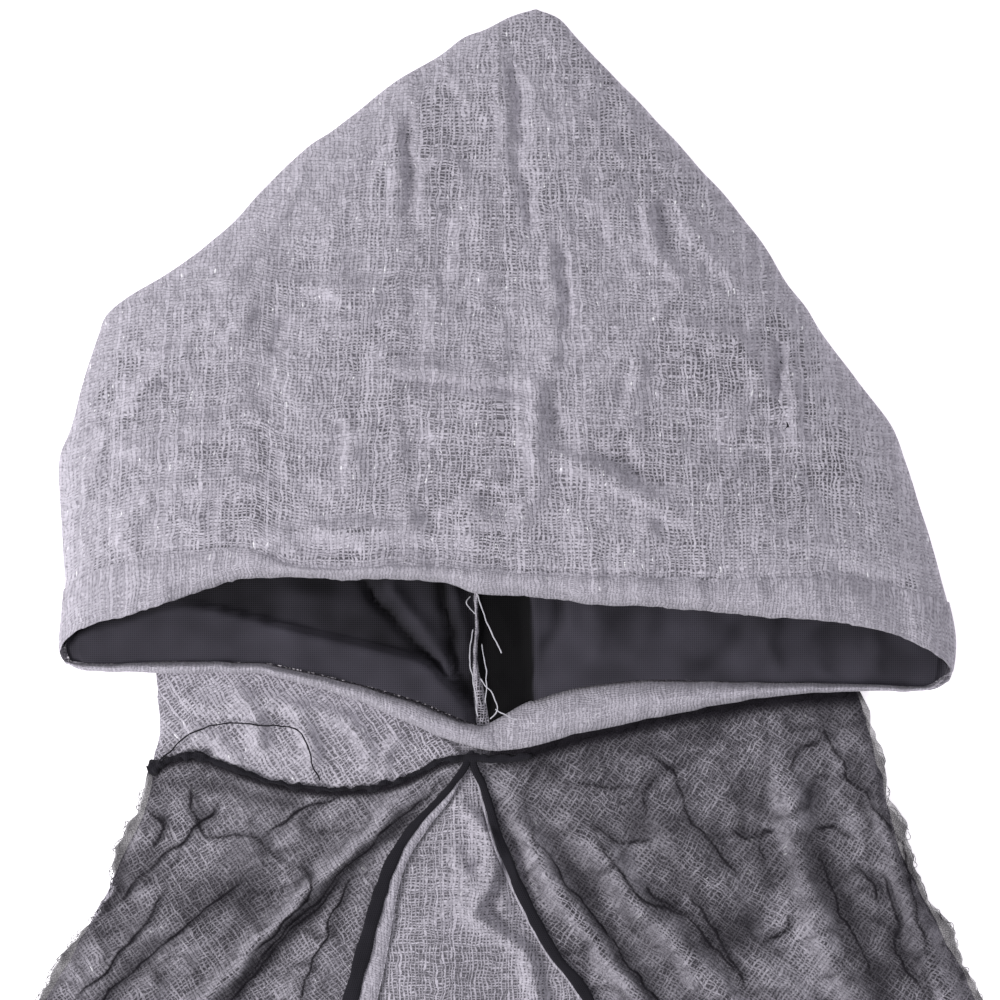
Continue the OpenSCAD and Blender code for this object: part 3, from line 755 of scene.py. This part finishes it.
# Radius and line of each loose thread at the nape
NAPE_THREADS = [
    (0.28, [(-9, 80, 8), (-7, 73, 8.5), (-3, 64, 9), (0.5, 56, 7)]),
    (0.24, [(-12, 79, 7), (-13.5, 76, 8), (-10, 72, 7)]),
    (0.26, [(-8, 46, 7), (-3, 40, 8), (-1, 34, 7), (-4, 30, 7)]),
    (0.22, [(-7, 60, 7), (-5.5, 48, 8), (-6, 36, 7)]),
    (0.22, [(-2, 34, 9), (3, 31, 12), (7, 30, 13)]),
    (0.25, [(-11, 66, 6), (-12, 54, 7), (-10, 40, 7), (-9, 31, 8)]),
]
nape_threads = [
    thread("nape_thread_%d" % number, points, radius, raw_thread, seed=80 + number)
    for number, (radius, points) in enumerate(NAPE_THREADS, 1)
]

# --- The cape ---

CAPE_LEFT = [
    (-138, 47), (-136, 22), (-139, 8), (-143, -11), (-150, -25), (-156.5, -40), (-167, -58), (-181, -82),
    (-209, -132), (-247, -214),
]
CAPE_RIGHT = [
    (142, 38), (146, 28), (150, 12), (154.5, -4), (161.5, -28), (168, -41), (178, -60), (188, -78),
    (212, -130), (247, -214),
]
NET_LEFT = [
    (-140, 10), (-144, -4), (-152, -22), (-155, -34), (-158, -45), (-169, -57), (-176, -67), (-187, -86),
    (-215, -134), (-253, -216),
]
NET_RIGHT = [
    (143, 38), (148, 27), (153, 13), (156, -3), (163, -15), (165, -29), (174, -46), (181, -56), (183, -64),
    (192, -80), (217, -130), (253, -216),
]
GAUZE_EDGE_LEFT = [(-12, 13), (-19.5, -2), (-29.5, -15), (-39.5, -34), (-47.5, -76), (-66, -150), (-95, -238)]
GAUZE_EDGE_RIGHT = [(-11, 10), (-3, -20), (7, -44), (19, -66), (32, -84), (64, -150), (112, -238)]
NET_EDGE_LEFT = [
    (-12.5, 15), (-15, 9), (-24, -2), (-36, -15), (-46, -34), (-58, -76), (-78, -150), (-107, -238),
]
NET_EDGE_RIGHT = [
    (-11.5, 15), (-9.8, 9), (-6.8, 3), (-2, -13), (0, -19), (10, -43), (22, -65), (36, -84), (68, -150),
    (117, -238),
]
# The rolled top edge of the net on the left
ROLL = [
    (-141, 9), (-134, 13), (-128, 15), (-120, 15), (-112, 12), (-96, 6), (-80, 2.5), (-60, 1.5), (-40, 5),
    (-24, 13), (-10, 16),
]
cape_left, cape_right, net_left, net_right = map(Curve, (CAPE_LEFT, CAPE_RIGHT, NET_LEFT, NET_RIGHT))
# The side edges waver a little, the net's more than the gauze's
WAVER = ((cape_left, 0.7), (cape_right, 0.7), (net_left, 1.5), (net_right, 1.5))
for seed, (line, reach) in enumerate(WAVER, 190):
    run, still = line.share * line.length, 0 * line.share
    away = noise(run, still, 7, seed) + 0.6 * noise(run, still, 2.6, seed)
    line.line[:, 0] += reach * away * ease(0, 0.05, line.share) * ease(0, 0.05, 1 - line.share)
gauze_edge_left, gauze_edge_right = Curve(GAUZE_EDGE_LEFT), Curve(GAUZE_EDGE_RIGHT)
net_edge_left, net_edge_right = Curve(NET_EDGE_LEFT), Curve(NET_EDGE_RIGHT)
roll_line = Curve(ROLL)
hem_line = Curve([(-247, -214), (-126, -236), (0, -241), (126, -236), (247, -214)])
net_hem_line = Curve([(-253, -216), (-128, -239), (0, -244), (128, -239), (253, -216)])

# Drape of the back panel, seen between the fronts
BACK_FOLDS = [
    (8.5, 3.4, [(-15, 6), (-15, -5), (-7, -13), (-2.5, -18), (-3.2, -34), (-10.5, -46), (-7, -53), (5, -61),
                (11, -71), (16, -90), (20, -140)]),
    (2.6, 1.5, [(-9, -13), (-9, -22), (-15, -31), (-24, -37)]),
    (-5.0, 3.4, [(1, -27), (5, -40), (12, -54)]),
    (3.5, 3.0, [(-22, -16), (-14, -30), (-14, -42), (-24, -52), (-34, -60)]),
    (3.0, 3.0, [(2, -22), (6, -34), (2, -46), (10, -60)]),
    (-2.5, 3.0, [(-2, -6), (0, -24), (-1, -40), (-6, -50)]),
    (4.0, 12.0, [(-26, -50), (-24, -75), (-30, -120), (-44, -200)]),
    (4.0, 9.0, [(26, -76), (34, -110), (52, -170), (70, -240)]),
    (-2.5, 5.0, [(0, -46), (4, -60), (16, -84), (26, -130)]),
    (4.5, 12.0, [(0, -110), (2, -170), (0, -245)]),
    (3.0, 14.0, [(-60, -150), (-74, -240)]),
]
# Long folds of the gauze fronts, fanning from the throat
FRONT_FOLDS = [
    (7.5, 4.2, [(-12, 16), (-24, 11), (-36, 0), (-58, -22), (-88, -50), (-116, -82), (-150, -124),
                (-196, -190)]),
    (3.0, 7.0, [(-84, 0), (-112, -24), (-142, -58), (-172, -96), (-214, -170)]),
    (3.6, 8.0, [(-120, -4), (-134, -24), (-150, -44)]),
    (4.2, 7.0, [(-90, -22), (-118, -52), (-146, -88), (-190, -150)]),
    (3.6, 8.0, [(-46, -30), (-70, -64), (-96, -110), (-132, -190)]),
    (4.5, 3.6, [(-108, 46), (-104, 38), (-98, 30), (-94, 14)]),
    (3.6, 2.6, [(-134, 42), (-112, 34), (-96, 38), (-70, 32), (-50, 28)]),
    (3.8, 3.2, [(-84, 40), (-78, 24), (-74, 8)]),
    (3.6, 3.0, [(-64, 34), (-54, 20), (-50, 6)]),
    (3.0, 2.6, [(-128, 30), (-112, 20), (-102, 8)]),
    (3.0, 2.4, [(-40, 24), (-46, 14), (-44, 6)]),
    (5.5, 5.0, [(-4, 14), (5, -3), (14, -22), (27, -44), (54, -80), (84, -130), (130, -220)]),
    (5.5, 6.5, [(20, -4), (42, -26), (62, -52), (94, -84), (134, -140), (180, -214)]),
    (4.0, 9.0, [(52, 14), (66, -10), (84, -36), (104, -68), (150, -136)]),
    (4.5, 7.0, [(104, 30), (112, 10), (118, -8), (122, -34), (136, -70), (172, -130)]),
    (2.8, 4.0, [(118, 2), (117, -10), (114, -18)]),
    (4.0, 5.0, [(146, 20), (154, -4), (160, -30), (166, -50), (190, -110)]),
    (3.2, 9.0, [(60, -70), (90, -130), (118, -200)]),
]
# Ridges that draw the net tight, so that the gauze shows through it more
TAUT_RIDGES = [
    (1.6, 2.2, [(-14, 16), (-27, 13), (-38, 2), (-58, -20), (-88, -49), (-116, -81), (-150, -123)]),
    (0.7, 4.0, [(-4, 14), (5, -3), (14, -22), (27, -44), (54, -80), (84, -130)]),
    (0.7, 4.0, [(24, -8), (42, -26), (62, -52), (94, -84), (134, -140)]),
    (0.8, 4.0, [(112, 14), (117, -4), (120, -16)]),
    (0.7, 5.0, [(104, -30), (112, -50), (128, -84)]),
    (0.6, 6.0, [(-118, -8), (-128, -26), (-146, -48)]),
]
# Wider bands of painted shade: the net is drawn denser where the folds beneath it turn away from the light
PAINTED_SHADE_BANDS = [
    (1.0, 3.0, [(-16, 9), (-36, -8), (-58, -28), (-88, -60), (-108, -82), (-140, -130)]),
    (0.6, 5.0, [(-90, -24), (-122, -50), (-156, -80), (-190, -120)]),
    (0.7, 3.4, [(14, -8), (30, -34), (46, -60), (62, -84), (90, -130)]),
    (0.7, 5.0, [(120, -10), (132, -34), (146, -66), (160, -100)]),
    (0.6, 4.0, [(-128, 6), (-100, 0), (-72, -4)]),
    (0.5, 5.0, [(20, 14), (60, 20), (100, 28)]),
    (0.5, 4.0, [(66, -30), (84, -44), (96, -66)]),
    (0.5, 3.0, [(136, 24), (146, 4), (158, -16), (166, -44)]),
]
# Sharp creases where the net bunches
NET_CREASES = [
    [(-124, 4), (-122, -10), (-118, -20)], [(-110, 0), (-122, -14), (-140, -30), (-154, -44)],
    [(-122, -18), (-100, -18), (-84, -28)], [(-98, -20), (-76, -6), (-48, 3), (-30, 10)],
    [(-92, -26), (-122, -50), (-158, -82), (-200, -140)], [(-56, -26), (-86, -58), (-120, -96)],
    [(-16, 11), (-38, -8), (-60, -28), (-90, -60), (-110, -82)], [(-84, -28), (-76, -40), (-100, -66)],
    [(-132, -36), (-150, -62), (-172, -86)],
    [(8, -10), (32, -42), (52, -70), (66, -86), (110, -150)],
    [(36, -12), (44, -26), (58, -42), (78, -53), (104, -84)],
    [(36, -12), (47, -19), (60, -18)], [(56, 18), (68, 10), (73, 2), (77, -12), (88, -25), (96, -36)],
    [(72, -36), (84, -52), (92, -66), (100, -80)],
    [(126, 36), (136, 14), (150, -6), (160, -20), (166, -42), (171, -68)],
    [(112, -16), (106, -16), (105, -22), (108, -28)], [(123, -13), (132, -14), (142, -18)],
    [(124, -20), (132, -38), (142, -58), (153, -80)], [(104, -60), (114, -55), (116, -47)],
    [(92, -14), (100, -18), (104, -14)], [(58, -34), (66, -44), (80, -50)], [(128, 22), (120, 16), (116, 8)],
    [(140, -26), (146, -34), (152, -46)], [(-140, -6), (-134, -14), (-140, -24)],
    [(-58, -32), (-72, -60), (-82, -90)],
    [(150, -30), (158, -46), (160, -66), (172, -84)], [(64, 8), (58, 0), (60, -8)],
    [(30, 6), (44, 2), (56, 4)],
]


def back_height(x, y):
    """Height of the cape's back panel: soft drape folds over the table, flat near the neck."""
    drape = folds(x, y, BACK_FOLDS) + 1.0 * noise(x, y, 30, 90) + 0.5 * noise(x, y, 11, 91)
    return 1.3 + np.maximum(drape, 0) * ease(16, -6, y)


def closing(x, y, outer, side):
    """1 well inside a side fold, falling as a quarter ellipse to 0 at the fold itself."""
    line = outer.line
    fold_x = np.interp(-y, -line[:, 1], line[:, 0])
    inside = np.clip(side * (fold_x - x) / 5.0, 0, 1)
    return np.sqrt(1 - (1 - inside) ** 2)


def front_height(x, y):
    """Height of the gauze fronts: over the back panel, with their own long folds, closed at the sides."""
    own = folds(x, y, FRONT_FOLDS) + 0.9 * noise(x, y, 19, 92) + 0.6 * crumple(x, y, 15, 93)
    own = own + 0.3 * noise(x, y, 6, 94)
    own = np.maximum(own + 0.4, 0.0) * (0.55 + 0.45 * ease(44, 20, y))
    close = np.where(x < 0, closing(x, y, cape_left, -1), closing(x, y, cape_right, 1))
    return back_height(x, y) + 0.3 + (1.0 + own) * close


def bunching_and_shade(x, y):
    """1 where the net is bunched, along its sharp creases and in finer crumples, and up to 0.55 over wider
    bands of painted shade.
    """
    # Painted shade: the net is made denser, so darker, over broad bands where the cloth turns from the light
    lines = 0.55 * folds(x, y, PAINTED_SHADE_BANDS).clip(0, 1)
    x, y = x + 1.6 * noise(x, y, 7, 98) + 0.5 * noise(x, y, 2.4, 99), y + 1.6 * noise(x, y, 7, 89)
    strength = 0.8 + 0.3 * noise(x, y, 5, 88)
    for points in NET_CREASES:
        gap, share = near(x, y, points)
        sharp = 1.2 * np.exp(-((gap / 0.5) ** 2)) + 0.22 * np.exp(-((gap / 1.8) ** 2))
        lines = np.maximum(lines, strength * sharp * ease(0, 0.25, np.minimum(share, 1 - share) + 0.05))
    fine = 0.35 * crumple(x, y, 16, 95) ** 3 + 0.25 * crumple(x, y, 7, 96) ** 4
    return np.clip(np.maximum(lines, fine), 0, 1)


def net_height(x, y):
    """Height of the net: just over the gauze fronts, and higher where it bunches."""
    return front_height(x, y) + 0.7 + 1.5 * bunching_and_shade(x, y) + 0.35 * (1 + noise(x, y, 5, 97))


def fold_line(name, corner):
    """Straight from the front's hinge, near the throat, to the outer corner of the hem."""
    start = hinge_point(name)[:2]
    return Curve([start, (start + corner) / 2, corner], fitted=False)


diagonals = {
    "left": fold_line("front_left_open", cape_left.line[-1]),
    "right": fold_line("front_right_open", cape_right.line[-1]),
}
net_diagonals = {
    "left": fold_line("front_left_open", net_left.line[-1]),
    "right": fold_line("front_right_open", net_right.line[-1]),
}


def between(first, second, rows, cols, top=None, bottom=None):
    """A surface ruled between two lines, drawn up to a top line at one end and a bottom line at the other."""
    v, u = np.linspace(0, 1, rows), np.linspace(0, 1, cols)
    a, b = first.at(v)[:, None], second.at(v)[:, None]
    p = a * (1 - u)[None, :, None] + b * u[None, :, None]
    if top is not None:
        p += ((1 - v) ** 3)[:, None, None] * (top - p[0])[None]
    if bottom is not None:
        p += (v ** 6)[:, None, None] * (bottom - p[-1])[None]
    return p[..., 0], p[..., 1]


def stretch_of(line, x_from, x_to, cols, tuck=0.0):
    """Points of a left-to-right line between two x values, moved up by a tuck."""
    k = np.linspace(x_from, x_to, cols)
    return np.stack([k, line.y_at(k) + tuck], -1)


def ending_at(points, corner):
    """The same points, bent over their last part so that they end at a corner."""
    return points + (np.linspace(0, 1, len(points)) ** 9)[:, None] * (corner - points[-1])


# How far the cape reaches up under the neck line
TUCK = 2.5
PANEL_ROWS, YOKE_COLS, FLAP_COLS = 150, 130, 90
NET_YOKE_ROWS, NET_YOKE_COLS = 270, 190
NET_FLAP_ROWS, NET_FLAP_COLS = 250, 130
BACK_ROWS, BACK_COLS = 170, 170


def panel(name, x, y, height, material, seed, base, dense=None, grain=0.0):
    """One cloth panel of the cape, its weave turned by a grain angle. Where dense is given, it closes the
    weave, and taut ridges open it."""
    z = height(x, y)
    cloth = x * math.cos(grain) - y * math.sin(grain), x * math.sin(grain) + y * math.cos(grain)
    if dense is None:
        opened = openness(x, y, z, seed, base=base, patchy=0.35)
    else:
        taut = folds(x, y, TAUT_RIDGES)
        patches = 0.16 * noise(x, y, 18, seed) + 0.12 * noise(x, y, 5, seed)
        opened = (base + patches + 0.3 * taut) * (1 - dense)
    return to_mesh(name, x, y, z, cloth, material, pole=True, open=opened.clip(0, 1))


sides = {
    "left": (cape_left, gauze_edge_left, net_left, net_edge_left, -1),
    "right": (cape_right, gauze_edge_right, net_right, net_edge_right, 1),
}
pieces = {}

back_top = stretch_of(neck_line, cape_left.line[0, 0], cape_right.line[0, 0], BACK_COLS, TUCK)
back_hem = hem_line.at(np.linspace(0, 1, BACK_COLS))
x, y = between(cape_left, cape_right, BACK_ROWS, BACK_COLS, back_top, back_hem)
cape_under = panel("cape_under", x, y, back_height, gauze_shaded, 100, base=0.85)
x, y = between(net_left, net_right, 120, 120, None, net_hem_line.at(np.linspace(0, 1, 120)))
net_under = to_mesh("net_under", x, y, 0.3 + 0 * x, (x, y), net, up=False, open=0.7 + 0 * x)

for side, (outer, edge, net_outer, net_edge, sign) in sides.items():
    throat_x = edge.line[0, 0]
    thin = 0.92 if side == "left" else 0.82
    apex = diagonals[side].line[0]
    # Gauze: a fixed yoke from the neck to the fold line, and a flap from there to the front edge
    top = ending_at(stretch_of(neck_line, outer.line[0, 0], throat_x * 0.4, YOKE_COLS, TUCK), apex)
    yoke = between(outer, diagonals[side], PANEL_ROWS, YOKE_COLS, top)
    bottom = stretch_of(hem_line, outer.line[-1, 0], edge.line[-1, 0], FLAP_COLS)
    flap = between(diagonals[side], edge, PANEL_ROWS, FLAP_COLS, None, bottom)
    for part, (x, y) in (("cape_yoke_" + side, yoke), ("cape_flap_" + side, flap)):
        pieces[part] = panel(part + "_cloth", x, y, front_height, gauze, 110, base=0.75, grain=0.6 * sign)
    # Net over them, in the same two parts
    if side == "left":
        top = roll_line.at(np.linspace(0, 1, NET_YOKE_COLS))
    else:
        top = stretch_of(neck_line, net_outer.line[0, 0], throat_x * 0.4, NET_YOKE_COLS, TUCK)
    top = ending_at(top, apex)
    x, y = between(net_outer, net_diagonals[side], NET_YOKE_ROWS, NET_YOKE_COLS, top)
    if side == "left":
        under_edge = ease(5, 1, np.abs(roll_line.y_at(x) - y))
    else:
        under_edge = ease(9, 1, neck_line.y_at(x) - y)
    dense = np.maximum(bunching_and_shade(x, y), 0.95 * under_edge)
    at_side = (0.5 + 0.25 * noise(x, y, 5, 87)) * ease(9, 1, np.abs(x - x[:, :1]))
    yoke = x, y, np.maximum(dense, at_side)
    bottom = stretch_of(net_hem_line, net_outer.line[-1, 0], net_edge.line[-1, 0], NET_FLAP_COLS)
    x, y = between(net_diagonals[side], net_edge, NET_FLAP_ROWS, NET_FLAP_COLS, None, bottom)
    flap = x, y, bunching_and_shade(x, y)
    for part, (x, y, dense) in (("net_yoke_" + side, yoke), ("net_flap_" + side, flap)):
        pieces[part] = panel(
            part + "_cloth", x, y, net_height, net, 120, base=thin, dense=dense, grain=0.5 * sign)
    # Black binding on the net's front edge, and the gauze's own turned edge inside it
    low, high = around("binding_" + side)
    full = high[1] - low[1]
    k = np.linspace(0, 1, 170)
    line = net_edge.at(k)
    wide = 3.4 + (3.0 if side == "left" else 2.2) * ease(0, 0.35, k)
    wide = wide * (1 + 0.14 * noise(k * full, 0 * k, 4, 131))
    w = np.linspace(-0.5, 0.5, 9)[:, None]
    x, y = line[:, 0] + w * wide, line[:, 1] + 0 * w
    z = net_height(x, y).max(0)[None] * 0.5 + net_height(x, y) * 0.5 + 0.9 * (1 - (2 * w) ** 4) + 0.3
    z = z + 0.15 * noise(x, y, 3, 130)
    along = k * full + 0 * w
    pieces["binding_" + side] = to_mesh("binding_" + side + "_tape", x, y, z, (x - line[:, 0], along), tape)
    inner = edge.at(k)
    w = np.linspace(0, 1, 8)[:, None]
    x, y = line[:, 0] * (1 - w) + inner[:, 0] * w, line[:, 1] * (1 - w) + inner[:, 1] * w
    z = front_height(x, y) + 0.45 + 0.5 * np.sin(w * math.pi) ** 0.5
    z[-1] -= 0.8
    along = k * full + 0 * w
    pieces["cape_edge_" + side] = to_mesh(
        "cape_edge_" + side + "_cloth", x, y, z, (x, along), gauze_double, open=0.25 + 0 * x)

# The net's top edge on the left is raw: rolled up and crumpled, with a loose thread arching over the yoke
k = np.linspace(0, 1, 240)
route = roll_line.at(k)
thick = 1.5 + 1.3 * ease(0.12, 0.0, k) + 0.7 * noise(k * 260, k * 0, 7, 140) + 0.5 * ease(0.3, 0.2, k)
over_yoke = front_height(route[:, 0], route[:, 1]) + 1.2
path = np.column_stack([route[:, 0], route[:, 1] + 0.6 * noise(k * 260, k * 0, 5, 141), over_yoke])
net_roll = cords("net_roll_left_cloth", [path], thick * 0.66, tape, sides=12, rough=0.8, seed=142)


def on_yoke(points, above):
    """A route given in plan, lifted to lie a little above the cape."""
    p = np.array(points, float)
    return [(a, b, front_height(np.array([a]), np.array([b]))[0] + above) for a, b in p]


YOKE_THREAD = [
    (-137, 12), (-132, 17), (-124, 24), (-110, 28), (-94, 27.5), (-82, 26), (-77, 20), (-75, 12), (-72, 5),
]
yoke_thread = thread("yoke_thread", on_yoke(YOKE_THREAD, 3.0), 0.3, tape, seed=150, steps=120)


def fringe(name, line, sign, start, end, count, reach, seed):
    """Little loops of yarn along a cut edge: each leaves the edge, arches outwards and comes back to it."""
    rng = np.random.default_rng(seed)
    k = np.sort(rng.uniform(start, end, count))
    gap = rng.uniform(1.5, 5.0, count) / line.length
    out = rng.uniform(0.4, 1.0, count) * reach
    v = np.linspace(0, 1, 12)
    run = (k[:, None] + gap[:, None] * (v - 0.5)).clip(0, 1)
    base = line.at(run)
    arch = out[:, None] * np.sin(v * math.pi) ** 0.8
    x = base[..., 0] + sign * arch + 0.07 * rng.normal(size=base[..., 0].shape)
    y = base[..., 1] + rng.uniform(-1.5, 1.5, count)[:, None] * np.sin(v * math.pi)
    z = 1.6 + rng.uniform(0, 2.0, count)[:, None] + 0 * x
    return cords(name, np.stack([x, y, z], -1), 0.11, tape, sides=4)


fringes = [
    fringe("net_fringe_left", net_left, -1, 0.03, 0.97, 110, 2.4, 180),
    fringe("net_fringe_right", net_right, 1, 0.05, 0.97, 60, 1.4, 181),
]

# The net gathered under the right face edge
k = np.linspace(-4, 139, 220)
w = np.linspace(0, 1, 14)[:, None]
wide = 4.6 + 1.8 * noise(k, 0 * k, 6, 163) + 1.2 * noise(k, 0 * k, 2.4, 164)
x, y = k + 0 * w, neck_line.y_at(k) + 1.5 - wide * w
puff = 1.1 + 0.6 * noise(x, y, 3.4, 160) + 0.5 * noise(x, y * 0.3, 2.2, 161)
z = front_height(x, y) + 1.0 + puff * np.sin(w * math.pi)
net_gather = to_mesh(
    "net_gather_right_cloth", x, y, z, (x, y), net,
    open=(0.75 * w ** 1.5 + 0.3 * noise(x, y, 3, 162)).clip(0, 1) + 0 * x,
)

# Tack at the throat
tack_line = np.array([(-21, 14.0), (-15, 14.4), (-9, 14.2), (-3, 13.8), (5, 14.2), (13, 15.5)])
tack_z = net_height(tack_line[:, 0], tack_line[:, 1]).clip(None, 7.5) + 0.6
tack_path = Curve(np.column_stack([tack_line, tack_z])).at(np.linspace(0, 1, 30))
tack = cords("throat_tack_knot", [tack_path], 1.5, tape, sides=10, rough=0.6, seed=170)

# --- What moves with what ---


def across_neck(obj):
    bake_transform(obj)


def across_mouth(obj):
    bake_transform(obj)


def across_fold(obj):
    """A piece from the fold line on: its placement is baked into its mesh."""
    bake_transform(obj)


for obj in (hood_upper, brow_hem, hood_upper_lining):
    across_mouth(obj)
hood_side = (hood_under, hood_under_lining, face_left, face_right)
for obj in (*hood_side, cape_under, net_under, net_roll, net_gather):
    across_neck(obj)
for obj in (seam_allowance, *nape_threads):
    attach(obj, "hood_back")
for obj in (tack, yoke_thread, *fringes):
    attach(obj, "cape")
for side in sides:
    across_neck(pieces["cape_yoke_" + side])
    across_neck(pieces["net_yoke_" + side])
    for part in ("cape_flap_", "net_flap_", "binding_", "cape_edge_"):
        across_fold(pieces[part + side])

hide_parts("hood_front_left", "hood_front_right", "crown_seam")
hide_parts("brow_hem_left", "brow_hem_right")
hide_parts("lining_front_left", "lining_front_right")
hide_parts("hood_back_left", "hood_back_right")
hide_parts("lining_back_left", "lining_back_right")
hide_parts("face_hem_left")
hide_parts("face_hem_right")
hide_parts("seam_allowance")
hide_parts("cape_back", "neck_seam")
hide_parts("net_back")
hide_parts("net_roll_left")
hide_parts("net_gather_right")
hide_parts("throat_tack")
for part, obj in pieces.items():
    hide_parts(part)


# Each sheet, how it is held, what it rests on and the trims sewn to it
sheets = [
    (net_under, "laid", (), []),
    (cape_under, "draped", [net_under], []),
    (hood_under, "laid", (), []),
    (hood_under_lining, "laid", [hood_under], []),
    (hood_upper_lining, "draped", [hood_under_lining], []),
    (hood_upper, "draped", [hood_upper_lining], []),
    (brow_hem, "folded", [hood_upper], []),
    (face_left, "folded", [hood_under_lining], []),
    (face_right, "folded", [hood_under_lining], []),
]
for side in sides:
    cape_yoke, cape_flap = pieces["cape_yoke_" + side], pieces["cape_flap_" + side]
    sheets += [
        (cape_yoke, "draped", [cape_under], []),
        (cape_flap, "draped", [cape_under], [pieces["cape_edge_" + side]]),
        (pieces["net_yoke_" + side], "draped", [cape_yoke], []),
        (pieces["net_flap_" + side], "draped", [cape_flap], [pieces["binding_" + side]]),
    ]
for obj, held, rests_on, trims in sheets:
    flat, area = cuts[obj.name]["strip" if held == "folded" else "panel"]
    flat = tuple(round(float(length), 3) for length in flat)

# --- Floor, light and camera ---

FLOOR_HALF, FLOOR_Z = 6, -0.0003
corners = [(a * FLOOR_HALF, b * FLOOR_HALF, FLOOR_Z) for a, b in ((-1, -1), (1, -1), (1, 1), (-1, 1))]
floor_mesh = bpy.data.meshes.new("floor")
floor_mesh.from_pydata(corners, [], [(0, 1, 2, 3)])
floor = bpy.data.objects.new("floor", floor_mesh)
bpy.context.scene.collection.objects.link(floor)
# Matte white studio paper over a light table, which leaves hardly any shadow
paper, t = new_tree("studio_paper")
add_output(t, add(t, "ShaderNodeBsdfPrincipled", {
    "Base Color": linear("#f6f4f7"), "Roughness": 1.0, "Specular IOR Level": 0.0,
    "Emission Color": linear("#fffaff"), "Emission Strength": 0.65,
}))
floor_mesh.materials.append(paper)

world = bpy.data.worlds.new("studio")
world.use_nodes = True
world.node_tree.nodes["Background"].inputs["Color"].default_value = linear("#f4f5fb")
world.node_tree.nodes["Background"].inputs["Strength"].default_value = 0.5
bpy.context.scene.world = world


GARMENT_MIDDLE = np.array([0, 0.1, 0])


def soft_light(name, place, size, power):
    """A square soft box that faces the garment."""
    data = bpy.data.lights.new(name, "AREA")
    data.size = size
    data.energy = power
    obj = bpy.data.objects.new(name, data)
    obj.location = place
    away = np.array(place) - GARMENT_MIDDLE
    yaw = math.atan2(away[0], -away[1])
    pitch = math.atan2(math.hypot(away[0], away[1]), away[2])
    obj.rotation_euler = (pitch, 0, yaw)
    bpy.context.scene.collection.objects.link(obj)


soft_light("key", (-1.5, -0.6, 1.4), 0.7, 40)
soft_light("fill", (1.4, 1.2, 1.9), 1.6, 9)

# Straight above, framing the hood and the top of the cape, with the width of the view taken at the cloth
VIEW_WIDTH, CLOTH_Z = 0.400, 0.012
CAMERA_Z, SENSOR = 2.4, 36.0
camera_data = bpy.data.cameras.new("camera")
camera_data.sensor_width = SENSOR
camera_data.lens = SENSOR * (CAMERA_Z - CLOTH_Z) / VIEW_WIDTH
camera = bpy.data.objects.new("camera", camera_data)
camera.location = (0.0, THROAT_Y * MM + 0.0995, CAMERA_Z)
bpy.context.scene.collection.objects.link(camera)
bpy.context.scene.camera = camera
bpy.context.scene.view_settings.view_transform = "Standard"
